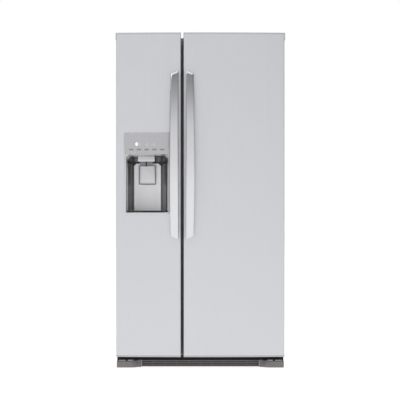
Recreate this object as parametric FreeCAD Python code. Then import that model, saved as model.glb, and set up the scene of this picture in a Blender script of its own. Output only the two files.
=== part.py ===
"""Side by side refrigerator: freezer on the left, fresh food on the right.

Millimetres. +Z is up, +X to the right when facing the doors, and the doors face -Y.
The drawing origin is the cabinet's front face at floor level, and save() moves it to the
centre of the object's footprint.
"""
import FreeCAD, Part
import math
import os

V = FreeCAD.Vector
X_AXIS = V(1, 0, 0)
Y_AXIS = V(0, 1, 0)
Z_AXIS = V(0, 0, 1)

# ---- driving dimensions -------------------------------------------------
# A name that starts with PLAN_ is a height drawn for doors whose ribs span PLAN_RIBS_Z.
# It moves with the real ribs, which follow the overall height.
PLAN_RIBS_Z = (150.0, 1556.0)
MARGIN = 50.0               # how far a cutting tool runs past what it cuts
SHELL_GAP = 0.3             # between a part and the hole around it
SEAT_GAP = 0.2              # a flat part seated on a curved face
OVERALL_HEIGHT = 1668.0     # floor to the top of the doors
DOORS_WIDTH = 838.0         # across both door skins
CABINET_INSET = 3.0         # cabinet side in from the door's edge
CABINET_DEPTH = 690.0       # front flange to rear panel
CABINET_TOP_DROP = 22.0     # cabinet top below the door tops
SHEET = 1.0                 # steel sheet of the wrapper and the door skins
LINER = 2.0                 # moulded liner wall
DOOR_LINER = 1.5

DOOR_EDGE_DEPTH = 68.0      # door thickness at the outer edges
DOOR_BOW = 24.0             # how far the common front arc rises at the middle
DOOR_BOTTOM = 56.0
DOOR_GAP = 12.7             # between the two doors
DOOR_GAP_X = -90.0          # middle of that gap
DOOR_CORNER = 6.0           # rounding of the skins' vertical edges
GASKET_DEPTH = 14.0
GASKET_WIDTH = 14.0
GASKET_EDGE = 22.0          # gasket in from the hinge side edge
GASKET_FREE_EDGE = 3.0      # gasket in from the other three edges
CAP_BAND = 9.0              # visible band of the top cap above the skin
CAP_DECK = 26.0             # hinge deck below the door top
CAP_LIP_BACK = 64.0         # the raised front lip ends this far ahead of the cabinet
CAP_WING = 3.0              # the cap's outer cheek stands proud of the skin
CAP_WING_DROP = 37.0
CAP_THICK = 8.0
CAP_BOSS_WALL = 5.0
CAP_BOSS = 12.0
CAP_TIE = 4.0
PIN_BORE_IN_FOAM = (6.0, 30.0)

HINGE_EDGE = 22.0           # hinge axis in from the door's outer edge
HINGE_AHEAD = 39.0          # hinge axis ahead of the cabinet face
PIN_R = 4.0
PIN_CLEARANCE = 0.05
PIN_IN_CAP = 16.0           # how deep each hinge pin reaches into its cap
HINGE_PLATE = 4.0
HINGE_ARM_HALF = 9.0
HINGE_FOOT = (40.0, 58.0)   # upper hinge's foot on the cabinet top
HINGE_FOOT_Y = 12.0
LOWER_HINGE_Z = 40.0
LOWER_HINGE_HALF = 14.0
HINGE_COLLAR_R = 8.0
HINGE_COVER_WALL = 2.0
HINGE_COVER_DROP = 3.0      # cover's top below the door's top
HINGE_COVER_NOSE_R = 12.0
HINGE_COVER_Y = (4.0, 92.0)
HINGE_COVER_SIDES = (46.0, 15.0)
HINGE_LIFT = 6.0            # hinge arm above the deck

SIDE_WALL = 45.0            # insulation and liner at the sides
MULLION = 52.0              # post between the compartments
CEILING = 50.0
REAR_WALL = 50.0
FLOOR_Z = 110.0             # compartment floors
CABINET_BASE = 60.0         # underside of the insulation
SKIRT_BOTTOM = 24.0         # side panels reach down to here
MACHINE_TOP = 280.0         # roof of the machine compartment
MACHINE_DEPTH = 260.0
STEP_WALL = 40.0            # insulation over the machine compartment
LIP = 25.0                  # liner lip around each opening

DIKE_GAP = 14.0             # door liner ribs to the compartment walls
DIKE_REACH = 40.0           # ribs into the compartment
DIKE_RIB = 26.0
RIB_FOAM_GAP = 3.0          # the foam stops this far short of a rib's moulding
BIN_WALL = 2.5
FREEZER_BIN_REACH = 95.0
FRIDGE_BIN_REACH = 105.0
BIN_CLEARANCE = 0.5
FREEZER_BIN_HEIGHT = 95.0
FRIDGE_BIN_HEIGHT = 110.0
PLAN_LOW_BINS = (152.0, 340.0, 530.0)       # freezer bins below the dispenser
HIGH_BIN_GAPS = (45.0, 15.0, 6.0)           # under, between and over the two bins above it
PLAN_FRIDGE_BINS = (152.0, 400.0, 655.0, 910.0, 1160.0)
PLAN_DAIRY_FLOOR = 1355.0
DAIRY_HEIGHT = 95.0
DAIRY_REACH = 85.0
LID = 3.0
LID_PIVOT_IN = 8.0          # lid pivot behind the door's plane
LID_FRONT = 55.0

PLAN_HANDLE_Z = (640.0, 1477.0)
HANDLE_SLANT = 15.0
HANDLE_WIDTH = 45.0
HANDLE_TAPER = 6.0
HANDLE_THICK = 18.0
HANDLE_REACH = 58.0         # handle front ahead of the door skin at its middle
HANDLE_BOW = 26.0
HANDLE_POST = 30.0
HANDLE_POST_IN = 48.0       # post centre in from the handle's end
HANDLE_FROM_GAP = 12.0      # handle's gap side in from the door's free edge

DISPENSER_EDGE = 39.5       # frame in from the freezer door's outer edge
DISPENSER_WIDTH = 225.5
PLAN_DISPENSER_Z = (769.0, 1170.5)
FRAME_PROUD = 4.0
FRAME_BODY = 12.0           # frame depth behind the skin
FRAME_RIM = 5.0
FRAME_INSET = 4.0           # the frame's body is this much smaller than its flange
PLAN_PANEL_BOTTOM = 1063.0
PANEL_THICK = 10.0
RECESS_RIM = (11.9, 8.0)    # frame left and right of the mouth
PLAN_RECESS_MOUTH_Z = (775.0, 1059.0)
RECESS_BACK_WIDTH = 135.0
RECESS_SHIFT = 2.25         # back wall and paddle right of the frame's middle
PLAN_RECESS_BACK_Z = (778.0, 1018.0)
RECESS_DEPTH = 98.0
RECESS_CHAMFER = 13.0
RECESS_WALL = 2.5
PLAN_DISPENSER_BLOCK_Z = (735.0, 1300.0)
CHUTE_WIDTH = 86.0
CHUTE_SETBACK = 20.2        # duct's front behind the door skin
CHUTE_DEPTH = 44.0
PLAN_CHUTE_BEND_Z = (1103.0, 1127.0)
PLAN_CHUTE_ENTRY_Z = (1187.0, 1262.0)
CHUTE_WALL = 2.5
SPOUT_INSET = 10.0
SPOUT_WALL = 3.0
PLAN_CHUTE_BOTTOM = 1027.0
PLAN_SPOUT_BOTTOM = 1008.0
PADDLE_WIDTH = 74.5
PLAN_PADDLE_Z = (919.0, 1006.0)
PADDLE_THICK = 4.0
PADDLE_STANDOFF = 9.0
POCKET_DEPTH = 14.0
POCKET_MARGIN = 7.0
PIVOT_R = 2.0
TRAY_PLATE = 5.0
TRAY_SLOT = 6.0
TRAY_GAPS = (4.0, 1.0)
TRAY_RIM = 8.0
EAR_GAP = 3.0
EAR = 7.0
EAR_HALF = 5.0
EAR_FRONT = 4.0
PLAN_FLAP_Z = 1098.0
FLAP_THICK = 3.0
KEY_COUNT = 5
KEY_SIZE = (22.0, 9.0)
KEY_PITCH = 38.0
PLAN_KEY_Z = 1086.0
KEY_DEPTH = 6.0
KEY_TRAVEL = 0.8
KEY_CLEARANCE = 0.3

SHELF_FRONT = 130.0
SHELF_BACK = 555.0
SHELF = 5.0
SHELF_RIM = 14.0
SHELF_RIM_THICK = 6.0
SHELF_RIM_RISE = 2.0
PLAN_FREEZER_SHELVES = (545.0, 760.0, 975.0)
PLAN_FRIDGE_SHELVES = (508.0, 780.0, 1040.0, 1300.0)
SHELF_OVER_STEP = 10.0
DRAWER_FRONT = 175.0
DRAWER_WALL = 2.5
DRAWER_CLEARANCE = 3.0
DRAWER_FACE = 6.0
DRAWER_BACK = 8.0           # drawer's back ahead of the step
GRIP_INSET = 60.0
GRIP_DEPTH = 14.0
GRIP_DROP = 18.0
GRIP_THICK = 4.0
GRIP_LIP = (3.0, 14.0)
LOWER_DRAWER_TOP = 300.0
UPPER_DRAWER_DROP = 20.0    # upper drawer below the shelf over it
PLAN_BUCKET_Z = (1195.0, 1332.0)
BUCKET_FRONT = 48.0
BUCKET_BACK = 430.0
AUGER_R = 26.0
AUGER_ROD_R = 5.0
AUGER_PITCH = 60.0
AUGER_BLADE = (4.0, 14.0)
AUGER_START = 14.0          # rod's front end behind the bucket's front
AUGER_MARGIN = (8.0, 20.0)  # first and last blade in from the rod's front and the bucket's back
AUGER_DRIVE = (90.0, 78.0, 110.0)
AUGER_DRIVE_GAP = 12.0
BUCKET_SHELF = 5.0
BUCKET_OUTLET = 62.0
MOULD_Y = (150.0, 400.0)
MOULD_RISE = 60.0           # mould above the bucket
MOULD_HEIGHT = 60.0
MOULD_INSETS = (30.0, 40.0)
MOULD_CUPS = 8
MOULD_CUP = 24.0
MOULD_CUP_PITCH = 29.0
MOULD_CUP_MARGIN = 10.0
MOULD_CUP_FLOOR = 20.0
MOULD_CUP_START = 12.0
MAKER_HEAD = 45.0
MAKER_HEAD_GROW = (10.0, 6.0)
MAKER_HEAD_RISE = (8.0, 22.0)
MAKER_BRACKET = 8.0
LAMP_Y = 150.0
FRIDGE_LAMP = (140.0, 80.0, 14.0)
FREEZER_LAMP = (80.0, 60.0, 12.0)
EVAPORATOR_COVER_Y = 560.0
EVAPORATOR_RISE = 60.0      # coil above the step
PLAN_EVAPORATOR_TOP = 720.0
EVAPORATOR_INSET = 25.0
EVAPORATOR_GAPS = (14.0, 6.0)
COIL_COLUMNS = 2
COIL_PITCH = (32.0, 60.0)
COIL_START = (14.0, 20.0)
COIL_FIN_COUNT = 16
COIL_FIN_PITCH = 12.0
COIL_FIN_START = 8.0
COIL_END = 2.0

EVAPORATOR_FAN_R = 48.0
PLAN_EVAPORATOR_FAN_Z = 1080.0
PANEL_WALL = 4.0
INLET_COUNT = 9
INLET = 12.0
MOTOR_R = 15.0
MOTOR = 28.0
MOTOR_GAP = 2.0
FAN_HOLE_GAP = 4.0
FAN_HUB = (14.0, 16.0)
FAN_BLADES = 5
FAN_FROM_BACK = 32.0
OUTLET = 12.0
TOWER_DEPTH = 28.0
TOWER_HALF = 80.0
FILTER_R = 21.0
FILTER_INSET = 60.0
FILTER_DROP = 26.0
FILTER_Y = (190.0, 400.0)
FILTER_KNOB = 10.0
FILTER_GRIP = (8.0, 14.0, 30.0)
BUCKET_GAP = 6.0

COMPRESSOR_X = -220.0
COMPRESSOR_R = 72.0
COMPRESSOR_FOOT = 16.0      # rubber feet and foot plate
COMPRESSOR_BOWL = 14.0
COMPRESSOR_POT = 110.0
COMPRESSOR_PLATE = (190.0, 120.0)
COMPRESSOR_FEET = (160.0, 90.0)
TRAY_TOP = 39.0
FAN_X = 40.0
FAN_R = 75.0
FAN_RISE = 110.0
CONDENSER_X = (75.0, 215.0)
FIN = 1.0
FIN_PITCH = 10.0
TUBE_R = 4.0
REAR_COVER = 3.0
SLOT = 7.0
SLOT_PITCH = 14.0
SLOT_COUNT = 14
SLOT_Z = (80.0, 240.0)
VALVE_INSET = 76.0
VALVE_RISE = 45.0
VALVE_HALF = 15.0
VALVE_INLET_R = 12.0
VALVE_INLET = 17.0
GLAND_INSET = 36.0
GLAND_DROP = 25.0
GLAND_R = 13.0
GLAND_BORE_R = 4.0
GLAND_DEPTH = 14.0

BEAM_Z = (34.0, 56.0)       # front beam of the base frame
BEAM_Y = (6.0, 60.0)
UPRIGHT_Y = (2.0, 6.0)      # lower hinge's upright on the front of the beam
CHEEK = 3.0
TRAY = 3.0
RAIL_X = (290.0, 300.0)
FRAME_ENDS = (4.0, 4.0)     # base frame in from the cabinet's front and rear
LEG_INSET = 46.0            # leg axis in from the cabinet side
LEG_Y = 30.0
LEG_STUD_R = 5.0
LEG_PAD_R = 16.0
LEG_PAD = 9.0
LEG_HEX_R = 9.0
LEG_HEX = 6.0
LEG_TRAVEL = 8.0
ROLLER_R = 20.0
ROLLER_WIDTH = 18.0
ROLLER_INSET = 66.0
ROLLER_FROM_BACK = 90.0
AXLE_R = 3.0
SHAFT_CLEARANCE = 0.05

COVER_TOP = 33.0            # foot covers
COVER_FRONT = 70.0
COVER_BOTTOM = 2.0
COVER_FLAT = 72.0           # width of each foot cover's flat front
COVER_WIDTH = 121.0
COVER_WALL = 3.0
COVER_REAR = 2.0            # rear edge ahead of the cabinet's front
COVER_BULGE = (12.0, 5.0)   # the S curve's middle points from its ends
GRILLE_TOP = 38.0
GRILLE_FRONT = 27.0
GRILLE_THICK = 12.0
GRILLE_SLOTS_Z = ((18.5, 22.5), (28.0, 32.0))
GRILLE_SLOT = 58.0
GRILLE_SLOT_PITCH = 64.0
GRILLE_SLOT_COUNT = 9
GRILLE_ARM = 10.0
GRILLE_ARM_X = 267.0
GRILLE_ARM_Z = (10.0, 36.0)

# ---- derived places -----------------------------------------------------
HALF_DOORS = DOORS_WIDTH / 2
HALF_CABINET = HALF_DOORS - CABINET_INSET
CABINET_INNER_X = (-HALF_CABINET + SHEET, HALF_CABINET - SHEET)
CABINET_TOP = OVERALL_HEIGHT - CABINET_TOP_DROP
DOOR_BACK = -GASKET_DEPTH
DOOR_EDGE_FRONT = DOOR_BACK - DOOR_EDGE_DEPTH
ARC_RADIUS = (HALF_DOORS**2 + DOOR_BOW**2) / (2 * DOOR_BOW)
ARC_CENTRE_Y = DOOR_EDGE_FRONT - DOOR_BOW + ARC_RADIUS
DECK_Z = OVERALL_HEIGHT - CAP_DECK
MULLION_X = (DOOR_GAP_X - MULLION / 2, DOOR_GAP_X + MULLION / 2)
FREEZER_X = (-HALF_CABINET + SIDE_WALL, MULLION_X[0])
FRIDGE_X = (MULLION_X[1], HALF_CABINET - SIDE_WALL)
CEILING_Z = CABINET_TOP - CEILING
REAR_Y = CABINET_DEPTH - REAR_WALL
MACHINE_Y = CABINET_DEPTH - MACHINE_DEPTH
STEP_Y = MACHINE_Y - STEP_WALL
STEP_Z = MACHINE_TOP + STEP_WALL
FREEZER_DOOR_X = (-HALF_DOORS, DOOR_GAP_X - DOOR_GAP / 2)
FRIDGE_DOOR_X = (DOOR_GAP_X + DOOR_GAP / 2, HALF_DOORS)
HINGE_X = HALF_DOORS - HINGE_EDGE
HINGE_Y = -HINGE_AHEAD
HINGE_COVER_X = (HINGE_X - HINGE_COVER_SIDES[0], HINGE_X + HINGE_COVER_SIDES[1])
LEG_X = HALF_CABINET - LEG_INSET
ROLLER_X = HALF_CABINET - ROLLER_INSET
ROLLER_Y = CABINET_DEPTH - ROLLER_FROM_BACK
COVER_FLAT_X = HALF_CABINET - COVER_FLAT
COVER_INNER_X = HALF_CABINET - COVER_WIDTH
TOWER_FRONT = REAR_Y - TOWER_DEPTH
FREEZER_MIDDLE = sum(FREEZER_X) / 2
FRIDGE_MIDDLE = sum(FRIDGE_X) / 2
SLOT_FIELDS = (-HALF_CABINET + 86, 60.0)
MACHINE_MIDDLE_Y = CABINET_DEPTH - MACHINE_DEPTH / 2
VALVE_X = HALF_CABINET - VALVE_INSET
VALVE_Z = TRAY_TOP + VALVE_RISE
GLAND_X = -HALF_CABINET + GLAND_INSET
GLAND_Z = MACHINE_TOP - GLAND_DROP
FAN_Z = TRAY_TOP + FAN_RISE
FILTER_X = FRIDGE_X[0] + FILTER_INSET
FILTER_Z = CEILING_Z - FILTER_DROP
LID_PIVOT_Y = DOOR_BACK + LID_PIVOT_IN
RIBS_Z = (FLOOR_Z + DIKE_GAP + DIKE_RIB, CEILING_Z - DIKE_GAP - DIKE_RIB)
BUCKET_X = (FREEZER_X[0] + BUCKET_GAP, FREEZER_X[1] - BUCKET_GAP)


def front_y(x, inset=0.0):
    """The doors' common front arc at x, moved into the door by inset."""
    return ARC_CENTRE_Y - math.sqrt((ARC_RADIUS - inset) ** 2 - x * x)


def centred(middle, width):
    """The span of a width about its middle."""
    return (middle - width / 2, middle + width / 2)


def shared(z, plan, real):
    """The height that splits the real span as z splits the plan span."""
    return real[0] + (z - plan[0]) * (real[1] - real[0]) / (plan[1] - plan[0])


def level(*heights):
    """Plan heights moved to the real ribs' span."""
    return tuple(shared(z, PLAN_RIBS_Z, RIBS_Z) for z in heights)


HANDLE_Z = level(*PLAN_HANDLE_Z)
BUCKET_Z = level(*PLAN_BUCKET_Z)
FREEZER_SHELVES = (STEP_Z + SHELF_OVER_STEP,) + level(*PLAN_FREEZER_SHELVES)
FRIDGE_SHELVES = level(*PLAN_FRIDGE_SHELVES)
UPPER_DRAWER_TOP = FRIDGE_SHELVES[0] - UPPER_DRAWER_DROP
EVAPORATOR_FAN_Z = level(PLAN_EVAPORATOR_FAN_Z)[0]
EVAPORATOR_TOP = level(PLAN_EVAPORATOR_TOP)[0]
FRIDGE_BINS = [(z, z + FRIDGE_BIN_HEIGHT) for z in level(*PLAN_FRIDGE_BINS)]
DAIRY_FLOOR = level(PLAN_DAIRY_FLOOR)[0]
DISPENSER_LIFT = BUCKET_Z[0] - PLAN_BUCKET_Z[0]     # the dispenser stays under the ice bucket's outlet


def lifted(*heights):
    """Plan heights of the dispenser, moved with the ice bucket."""
    return tuple(z + DISPENSER_LIFT for z in heights)


DISPENSER_Z = lifted(*PLAN_DISPENSER_Z)
PANEL_BOTTOM, CHUTE_BOTTOM, SPOUT_BOTTOM, FLAP_Z, KEY_Z = lifted(
    PLAN_PANEL_BOTTOM, PLAN_CHUTE_BOTTOM, PLAN_SPOUT_BOTTOM, PLAN_FLAP_Z, PLAN_KEY_Z)
RECESS_MOUTH_Z = lifted(*PLAN_RECESS_MOUTH_Z)
RECESS_BACK_Z = lifted(*PLAN_RECESS_BACK_Z)
DISPENSER_BLOCK_Z = lifted(*PLAN_DISPENSER_BLOCK_Z)
CHUTE_BEND_Z = lifted(*PLAN_CHUTE_BEND_Z)
CHUTE_ENTRY_Z = lifted(*PLAN_CHUTE_ENTRY_Z)
PADDLE_Z = lifted(*PLAN_PADDLE_Z)


BELOW_BLOCK = ((PLAN_RIBS_Z[0], PLAN_DISPENSER_BLOCK_Z[0]), (RIBS_Z[0], DISPENSER_BLOCK_Z[0]))
LOW_BIN_FLOORS = [shared(z, *BELOW_BLOCK) for z in PLAN_LOW_BINS]
HIGH_BIN_HEIGHT = (RIBS_Z[1] - DISPENSER_BLOCK_Z[1] - sum(HIGH_BIN_GAPS)) / 2
HIGH_BIN_FLOOR = DISPENSER_BLOCK_Z[1] + HIGH_BIN_GAPS[0]
TOP_BIN_FLOOR = HIGH_BIN_FLOOR + HIGH_BIN_HEIGHT + HIGH_BIN_GAPS[1]
FREEZER_BINS = [(z, z + FREEZER_BIN_HEIGHT) for z in LOW_BIN_FLOORS]
FREEZER_BINS += [(z, z + HIGH_BIN_HEIGHT) for z in (HIGH_BIN_FLOOR, TOP_BIN_FLOOR)]
FREEZER_HANDLE_X = (FREEZER_DOOR_X[1] - HANDLE_FROM_GAP - HANDLE_WIDTH, FREEZER_DOOR_X[1] - HANDLE_FROM_GAP)
FRIDGE_HANDLE_X = (FRIDGE_DOOR_X[0] + HANDLE_FROM_GAP, FRIDGE_DOOR_X[0] + HANDLE_FROM_GAP + HANDLE_WIDTH)
FRONT_MOST = front_y(sum(FRIDGE_HANDLE_X) / 2) - HANDLE_REACH
ORIGIN = V(0, (FRONT_MOST + CABINET_DEPTH) / 2, 0)
DISPENSER_X = (-HALF_DOORS + DISPENSER_EDGE, -HALF_DOORS + DISPENSER_EDGE + DISPENSER_WIDTH)
DISPENSER_MIDDLE = sum(DISPENSER_X) / 2
RECESS_MOUTH_X = (DISPENSER_X[0] + RECESS_RIM[0], DISPENSER_X[1] - RECESS_RIM[1])
RECESS_BACK_Y = front_y(DISPENSER_MIDDLE) + RECESS_DEPTH
RECESS_BACK_X = centred(DISPENSER_MIDDLE + RECESS_SHIFT, RECESS_BACK_WIDTH)
PADDLE_X = centred(DISPENSER_MIDDLE + RECESS_SHIFT, PADDLE_WIDTH)
CHUTE_X = centred(DISPENSER_MIDDLE - RECESS_SHIFT, CHUTE_WIDTH)
AUGER_X = sum(CHUTE_X) / 2
AUGER_Z = BUCKET_Z[0] + AUGER_R + 7
CHUTE_FRONT = front_y(DISPENSER_MIDDLE) + CHUTE_SETBACK
CHUTE_Y = (CHUTE_FRONT, CHUTE_FRONT + CHUTE_DEPTH)
FLAP_PIVOT_Y = CHUTE_Y[1] - 4
RECESS_START = front_y(DISPENSER_MIDDLE) - MARGIN
PADDLE_Y = RECESS_BACK_Y - PADDLE_STANDOFF
PADDLE_PIVOT_Z = PADDLE_Z[1] - PADDLE_THICK / 2 - 1


# ---- helpers ------------------------------------------------------------
def save(name, shape):
    """One STEP file per node, in the object's own frame."""
    moved = shape.copy()
    moved.translate(-ORIGIN)
    if not moved.isValid() or not moved.Solids:
        raise ValueError("bad shape: " + name)
    moved.exportStep("parts/" + name + ".step")
    print(name, len(moved.Solids), "solids", round(moved.Volume / 1000), "cm3")


def box(x, y, z):
    """A block between the two values given for each axis."""
    low = V(min(x), min(y), min(z))
    return Part.makeBox(max(x) - low.x, max(y) - low.y, max(z) - low.z, low)


def rod(radius, length, start, direction):
    return Part.makeCylinder(radius, length, V(*start), direction)


def prism(points, sweep):
    """A closed polygon of points, swept along a vector."""
    wire = Part.makePolygon([V(*p) for p in points] + [V(*points[0])])
    return Part.Face(wire).extrude(sweep)


def fuse(shapes):
    joined = shapes[0].multiFuse(shapes[1:]) if len(shapes) > 1 else shapes[0]
    return joined.removeSplitter()


def group(shapes):
    return Part.makeCompound([s for shape in shapes for s in shape.Solids])


def mirrored(shape):
    return shape.mirror(V(0, 0, 0), X_AXIS)


def grown(span, by):
    return (span[0] - by, span[1] + by)


def tub(x, y, z, wall):
    """An open-topped box."""
    inside = box(grown(x, -wall), grown(y, -wall), (z[0] + wall, z[1] + MARGIN))
    return box(x, y, z).cut(inside)


def arc_slab(x, z, front_inset, back_y=None, back_inset=None):
    """A slab whose front follows the doors' arc; its back is flat or follows the arc too."""
    def arc(inset, ends):
        pts = [V(e, front_y(e, inset), z[0]) for e in (ends[0], sum(ends) / 2, ends[1])]
        return Part.Arc(*pts).toShape(), pts[0], pts[2]

    front, a, b = arc(front_inset, x)
    if back_inset is None:
        c = V(x[1], back_y, z[0])
        d = V(x[0], back_y, z[0])
        back = Part.makeLine(c, d)
    else:
        back, c, d = arc(back_inset, (x[1], x[0]))
    wire = Part.Wire([front, Part.makeLine(b, c), back, Part.makeLine(d, a)])
    return Part.Face(wire).extrude(V(0, 0, z[1] - z[0]))


def rounded_slab(x, z, inset, back_y, radius):
    """A door slab with its two front vertical edges rounded."""
    slab = arc_slab(x, z, inset, back_y=back_y)
    edges = []
    for e in slab.Edges:
        ends = [v.Point for v in e.Vertexes]
        upright = len(ends) == 2 and abs(ends[0].z - ends[1].z) > 1
        if upright and ends[0].y < back_y - 1:
            edges.append(e)
    return slab.makeFillet(radius, edges)


# ---- cabinet ------------------------------------------------------------
def compartment(x, grow, front):
    """The inside of a compartment, grown by a wall."""
    lower = box(grown(x, grow), (front, STEP_Y + grow), (FLOOR_Z - grow, CEILING_Z + grow))
    upper = box(grown(x, grow), (front, REAR_Y + grow), (STEP_Z - grow, CEILING_Z + grow))
    return lower.fuse(upper).removeSplitter()


def cabinet_shell():
    inner = CABINET_INNER_X
    shell = box((-HALF_CABINET, HALF_CABINET), (0, CABINET_DEPTH), (SKIRT_BOTTOM, CABINET_TOP))
    inside_z = (SKIRT_BOTTOM - MARGIN, CABINET_TOP - SHEET)
    shell = shell.cut(box(inner, (SHEET, CABINET_DEPTH + MARGIN), inside_z))
    mouth = (FREEZER_X[0] - LIP, FRIDGE_X[1] + LIP)
    shell = shell.cut(box(mouth, (-MARGIN, SHEET), (FLOOR_Z - LIP, CEILING_Z + LIP)))
    return shell.cut(box(inner, (-MARGIN, SHEET), (0, CABINET_BASE)))


def liner(x):
    """A moulded liner with a lip around its mouth; the mullion cover lies between the two lips."""
    lip = box(grown(x, LIP), (0, LINER), (FLOOR_Z - LIP, CEILING_Z + LIP))
    body = compartment(x, LINER, 0).fuse(lip).cut(compartment(x, 0, -1))
    beyond = box(grown(MULLION_X, -LINER), (-1, LINER + 1), (0, CABINET_TOP))
    side = (-HALF_CABINET, DOOR_GAP_X) if x == FREEZER_X else (DOOR_GAP_X, HALF_CABINET)
    return body.cut(beyond).common(box(side, (-1, CABINET_DEPTH), (0, CABINET_TOP)))


def fridge_liner():
    """The fresh food liner, with the boss that holds the water filter."""
    boss = box(centred(FILTER_X, 56), (FILTER_Y[1] + 2, FILTER_Y[1] + 40), (CEILING_Z - 52, CEILING_Z))
    return liner(FRIDGE_X).fuse(boss).removeSplitter()


def foam_insulation():
    foam = box(CABINET_INNER_X, (LINER, CABINET_DEPTH - LINER), (CABINET_BASE, CABINET_TOP - SHEET))
    machine = box((-HALF_CABINET, HALF_CABINET), (MACHINE_Y, CABINET_DEPTH), (0, MACHINE_TOP))
    for cut in (machine, compartment(FREEZER_X, LINER, -1), compartment(FRIDGE_X, LINER, -1)):
        foam = foam.cut(cut)
    return foam


def mullion_cover():
    return box(grown(MULLION_X, -LINER), (0, LINER), (FLOOR_Z - LIP, CEILING_Z + LIP))


def back_panel():
    return box(CABINET_INNER_X, (CABINET_DEPTH - LINER, CABINET_DEPTH),
               (MACHINE_TOP, CABINET_TOP - SHEET))


def base_frame():
    """Side cheeks, a front beam, two rails and the rear tray, with the rollers' brackets and axles."""
    cheek_x = (CABINET_INNER_X[1] - CHEEK, CABINET_INNER_X[1])
    cheek_y = (FRAME_ENDS[0], CABINET_DEPTH - FRAME_ENDS[1])
    tray_z = (TRAY_TOP - TRAY, TRAY_TOP)
    tray_y = (MACHINE_Y + 2, cheek_y[1])
    cheek = box(cheek_x, cheek_y, (SKIRT_BOTTOM, CABINET_BASE))
    cheek = cheek.fuse(box(cheek_x, (MACHINE_Y, cheek_y[1]), (SKIRT_BOTTOM, MACHINE_TOP)))
    inner = (-cheek_x[0], cheek_x[0])
    parts = [cheek, mirrored(cheek), box(inner, BEAM_Y, BEAM_Z), box(inner, tray_y, tray_z)]
    for rail_x in (RAIL_X, (-RAIL_X[0], -RAIL_X[1])):
        parts.append(box(rail_x, (BEAM_Y[1], tray_y[0]), BEAM_Z))
        parts.append(box(rail_x, grown(centred(tray_y[0], 0), 12), (BEAM_Z[0], tray_z[1])))
    frame = fuse(parts)
    half = ROLLER_WIDTH / 2
    well_y = centred(ROLLER_Y, 2 * ROLLER_R + 6)
    axles = []
    for s in (-1, 1):
        frame = frame.cut(box(centred(s * ROLLER_X, ROLLER_WIDTH + 2), well_y, tray_z))
        for bracket_x in ((-half - 4, -half - 1), (half + 1, half + 4)):
            place = (s * ROLLER_X + bracket_x[0], s * ROLLER_X + bracket_x[1])
            axles.append(box(place, centred(ROLLER_Y, 16), (ROLLER_R - 8, tray_z[0])))
        axles.append(rod(AXLE_R, ROLLER_WIDTH + 8, (s * ROLLER_X - half - 4, ROLLER_Y, ROLLER_R), X_AXIS))
    frame = fuse([frame] + axles)
    for s in (-1, 1):
        frame = frame.cut(rod(LEG_STUD_R + SHAFT_CLEARANCE, 2 * MARGIN, (s * LEG_X, LEG_Y, 0), Z_AXIS))
    return frame


def levelling_leg(side):
    """A pad, a stud and a hexagon to turn it by."""
    centre = (side * LEG_X, LEG_Y)
    top = BEAM_Z[1] - LEG_TRAVEL
    pad = rod(LEG_PAD_R, LEG_PAD, centre + (0,), Z_AXIS)
    stud = rod(LEG_STUD_R, top - LEG_PAD, centre + (LEG_PAD,), Z_AXIS)
    corners = [(centre[0] + LEG_HEX_R * math.cos(a), centre[1] + LEG_HEX_R * math.sin(a), LEG_PAD)
               for a in (math.radians(60 * i) for i in range(6))]
    return fuse([pad, stud, prism(corners, V(0, 0, LEG_HEX))])


def rear_rollers():
    rollers = []
    for s in (-1, 1):
        start = (s * ROLLER_X - ROLLER_WIDTH / 2, ROLLER_Y, ROLLER_R)
        wheel = rod(ROLLER_R, ROLLER_WIDTH, start, X_AXIS)
        rollers.append(wheel.cut(rod(AXLE_R + SHAFT_CLEARANCE, ROLLER_WIDTH, start, X_AXIS)))
    return group(rollers)


# ---- machine compartment ------------------------------------------------
def compressor():
    """A welded oval pot on a foot plate, with its terminal box and suction stub."""
    centre = (COMPRESSOR_X, MACHINE_MIDDLE_Y)
    foot_top = TRAY_TOP + COMPRESSOR_FOOT
    pot_bottom = foot_top + COMPRESSOR_BOWL
    pot_top = pot_bottom + COMPRESSOR_POT
    pot = rod(COMPRESSOR_R, COMPRESSOR_POT, centre + (pot_bottom,), Z_AXIS)
    seam = rod(COMPRESSOR_R + 4, 6, centre + (pot_bottom + 46,), Z_AXIS)
    dome = Part.makeSphere(COMPRESSOR_R * 1.25, V(*centre, pot_top - COMPRESSOR_R * 0.75))
    dome = dome.common(rod(COMPRESSOR_R, COMPRESSOR_R, centre + (pot_top,), Z_AXIS))
    bowl = rod(COMPRESSOR_R - 12, COMPRESSOR_BOWL, centre + (foot_top,), Z_AXIS)
    plate_x, plate_y = (centred(c, size) for c, size in zip(centre, COMPRESSOR_PLATE))
    plate = box(plate_x, plate_y, (foot_top - 3, foot_top))
    feet = [
        rod(13, COMPRESSOR_FOOT - 3, (x, y, TRAY_TOP), Z_AXIS)
        for x in centred(centre[0], COMPRESSOR_FEET[0]) for y in centred(centre[1], COMPRESSOR_FEET[1])
    ]
    terminals = box((centre[0] + COMPRESSOR_R - 12, centre[0] + COMPRESSOR_R + 24), centred(centre[1], 50),
                    (foot_top + 30, foot_top + 85))
    stub = rod(5, 40, (centre[0] - 25, centre[1], pot_top + 10), Z_AXIS)
    return fuse([pot, seam, dome, bowl, plate, terminals, stub] + feet)


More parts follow.
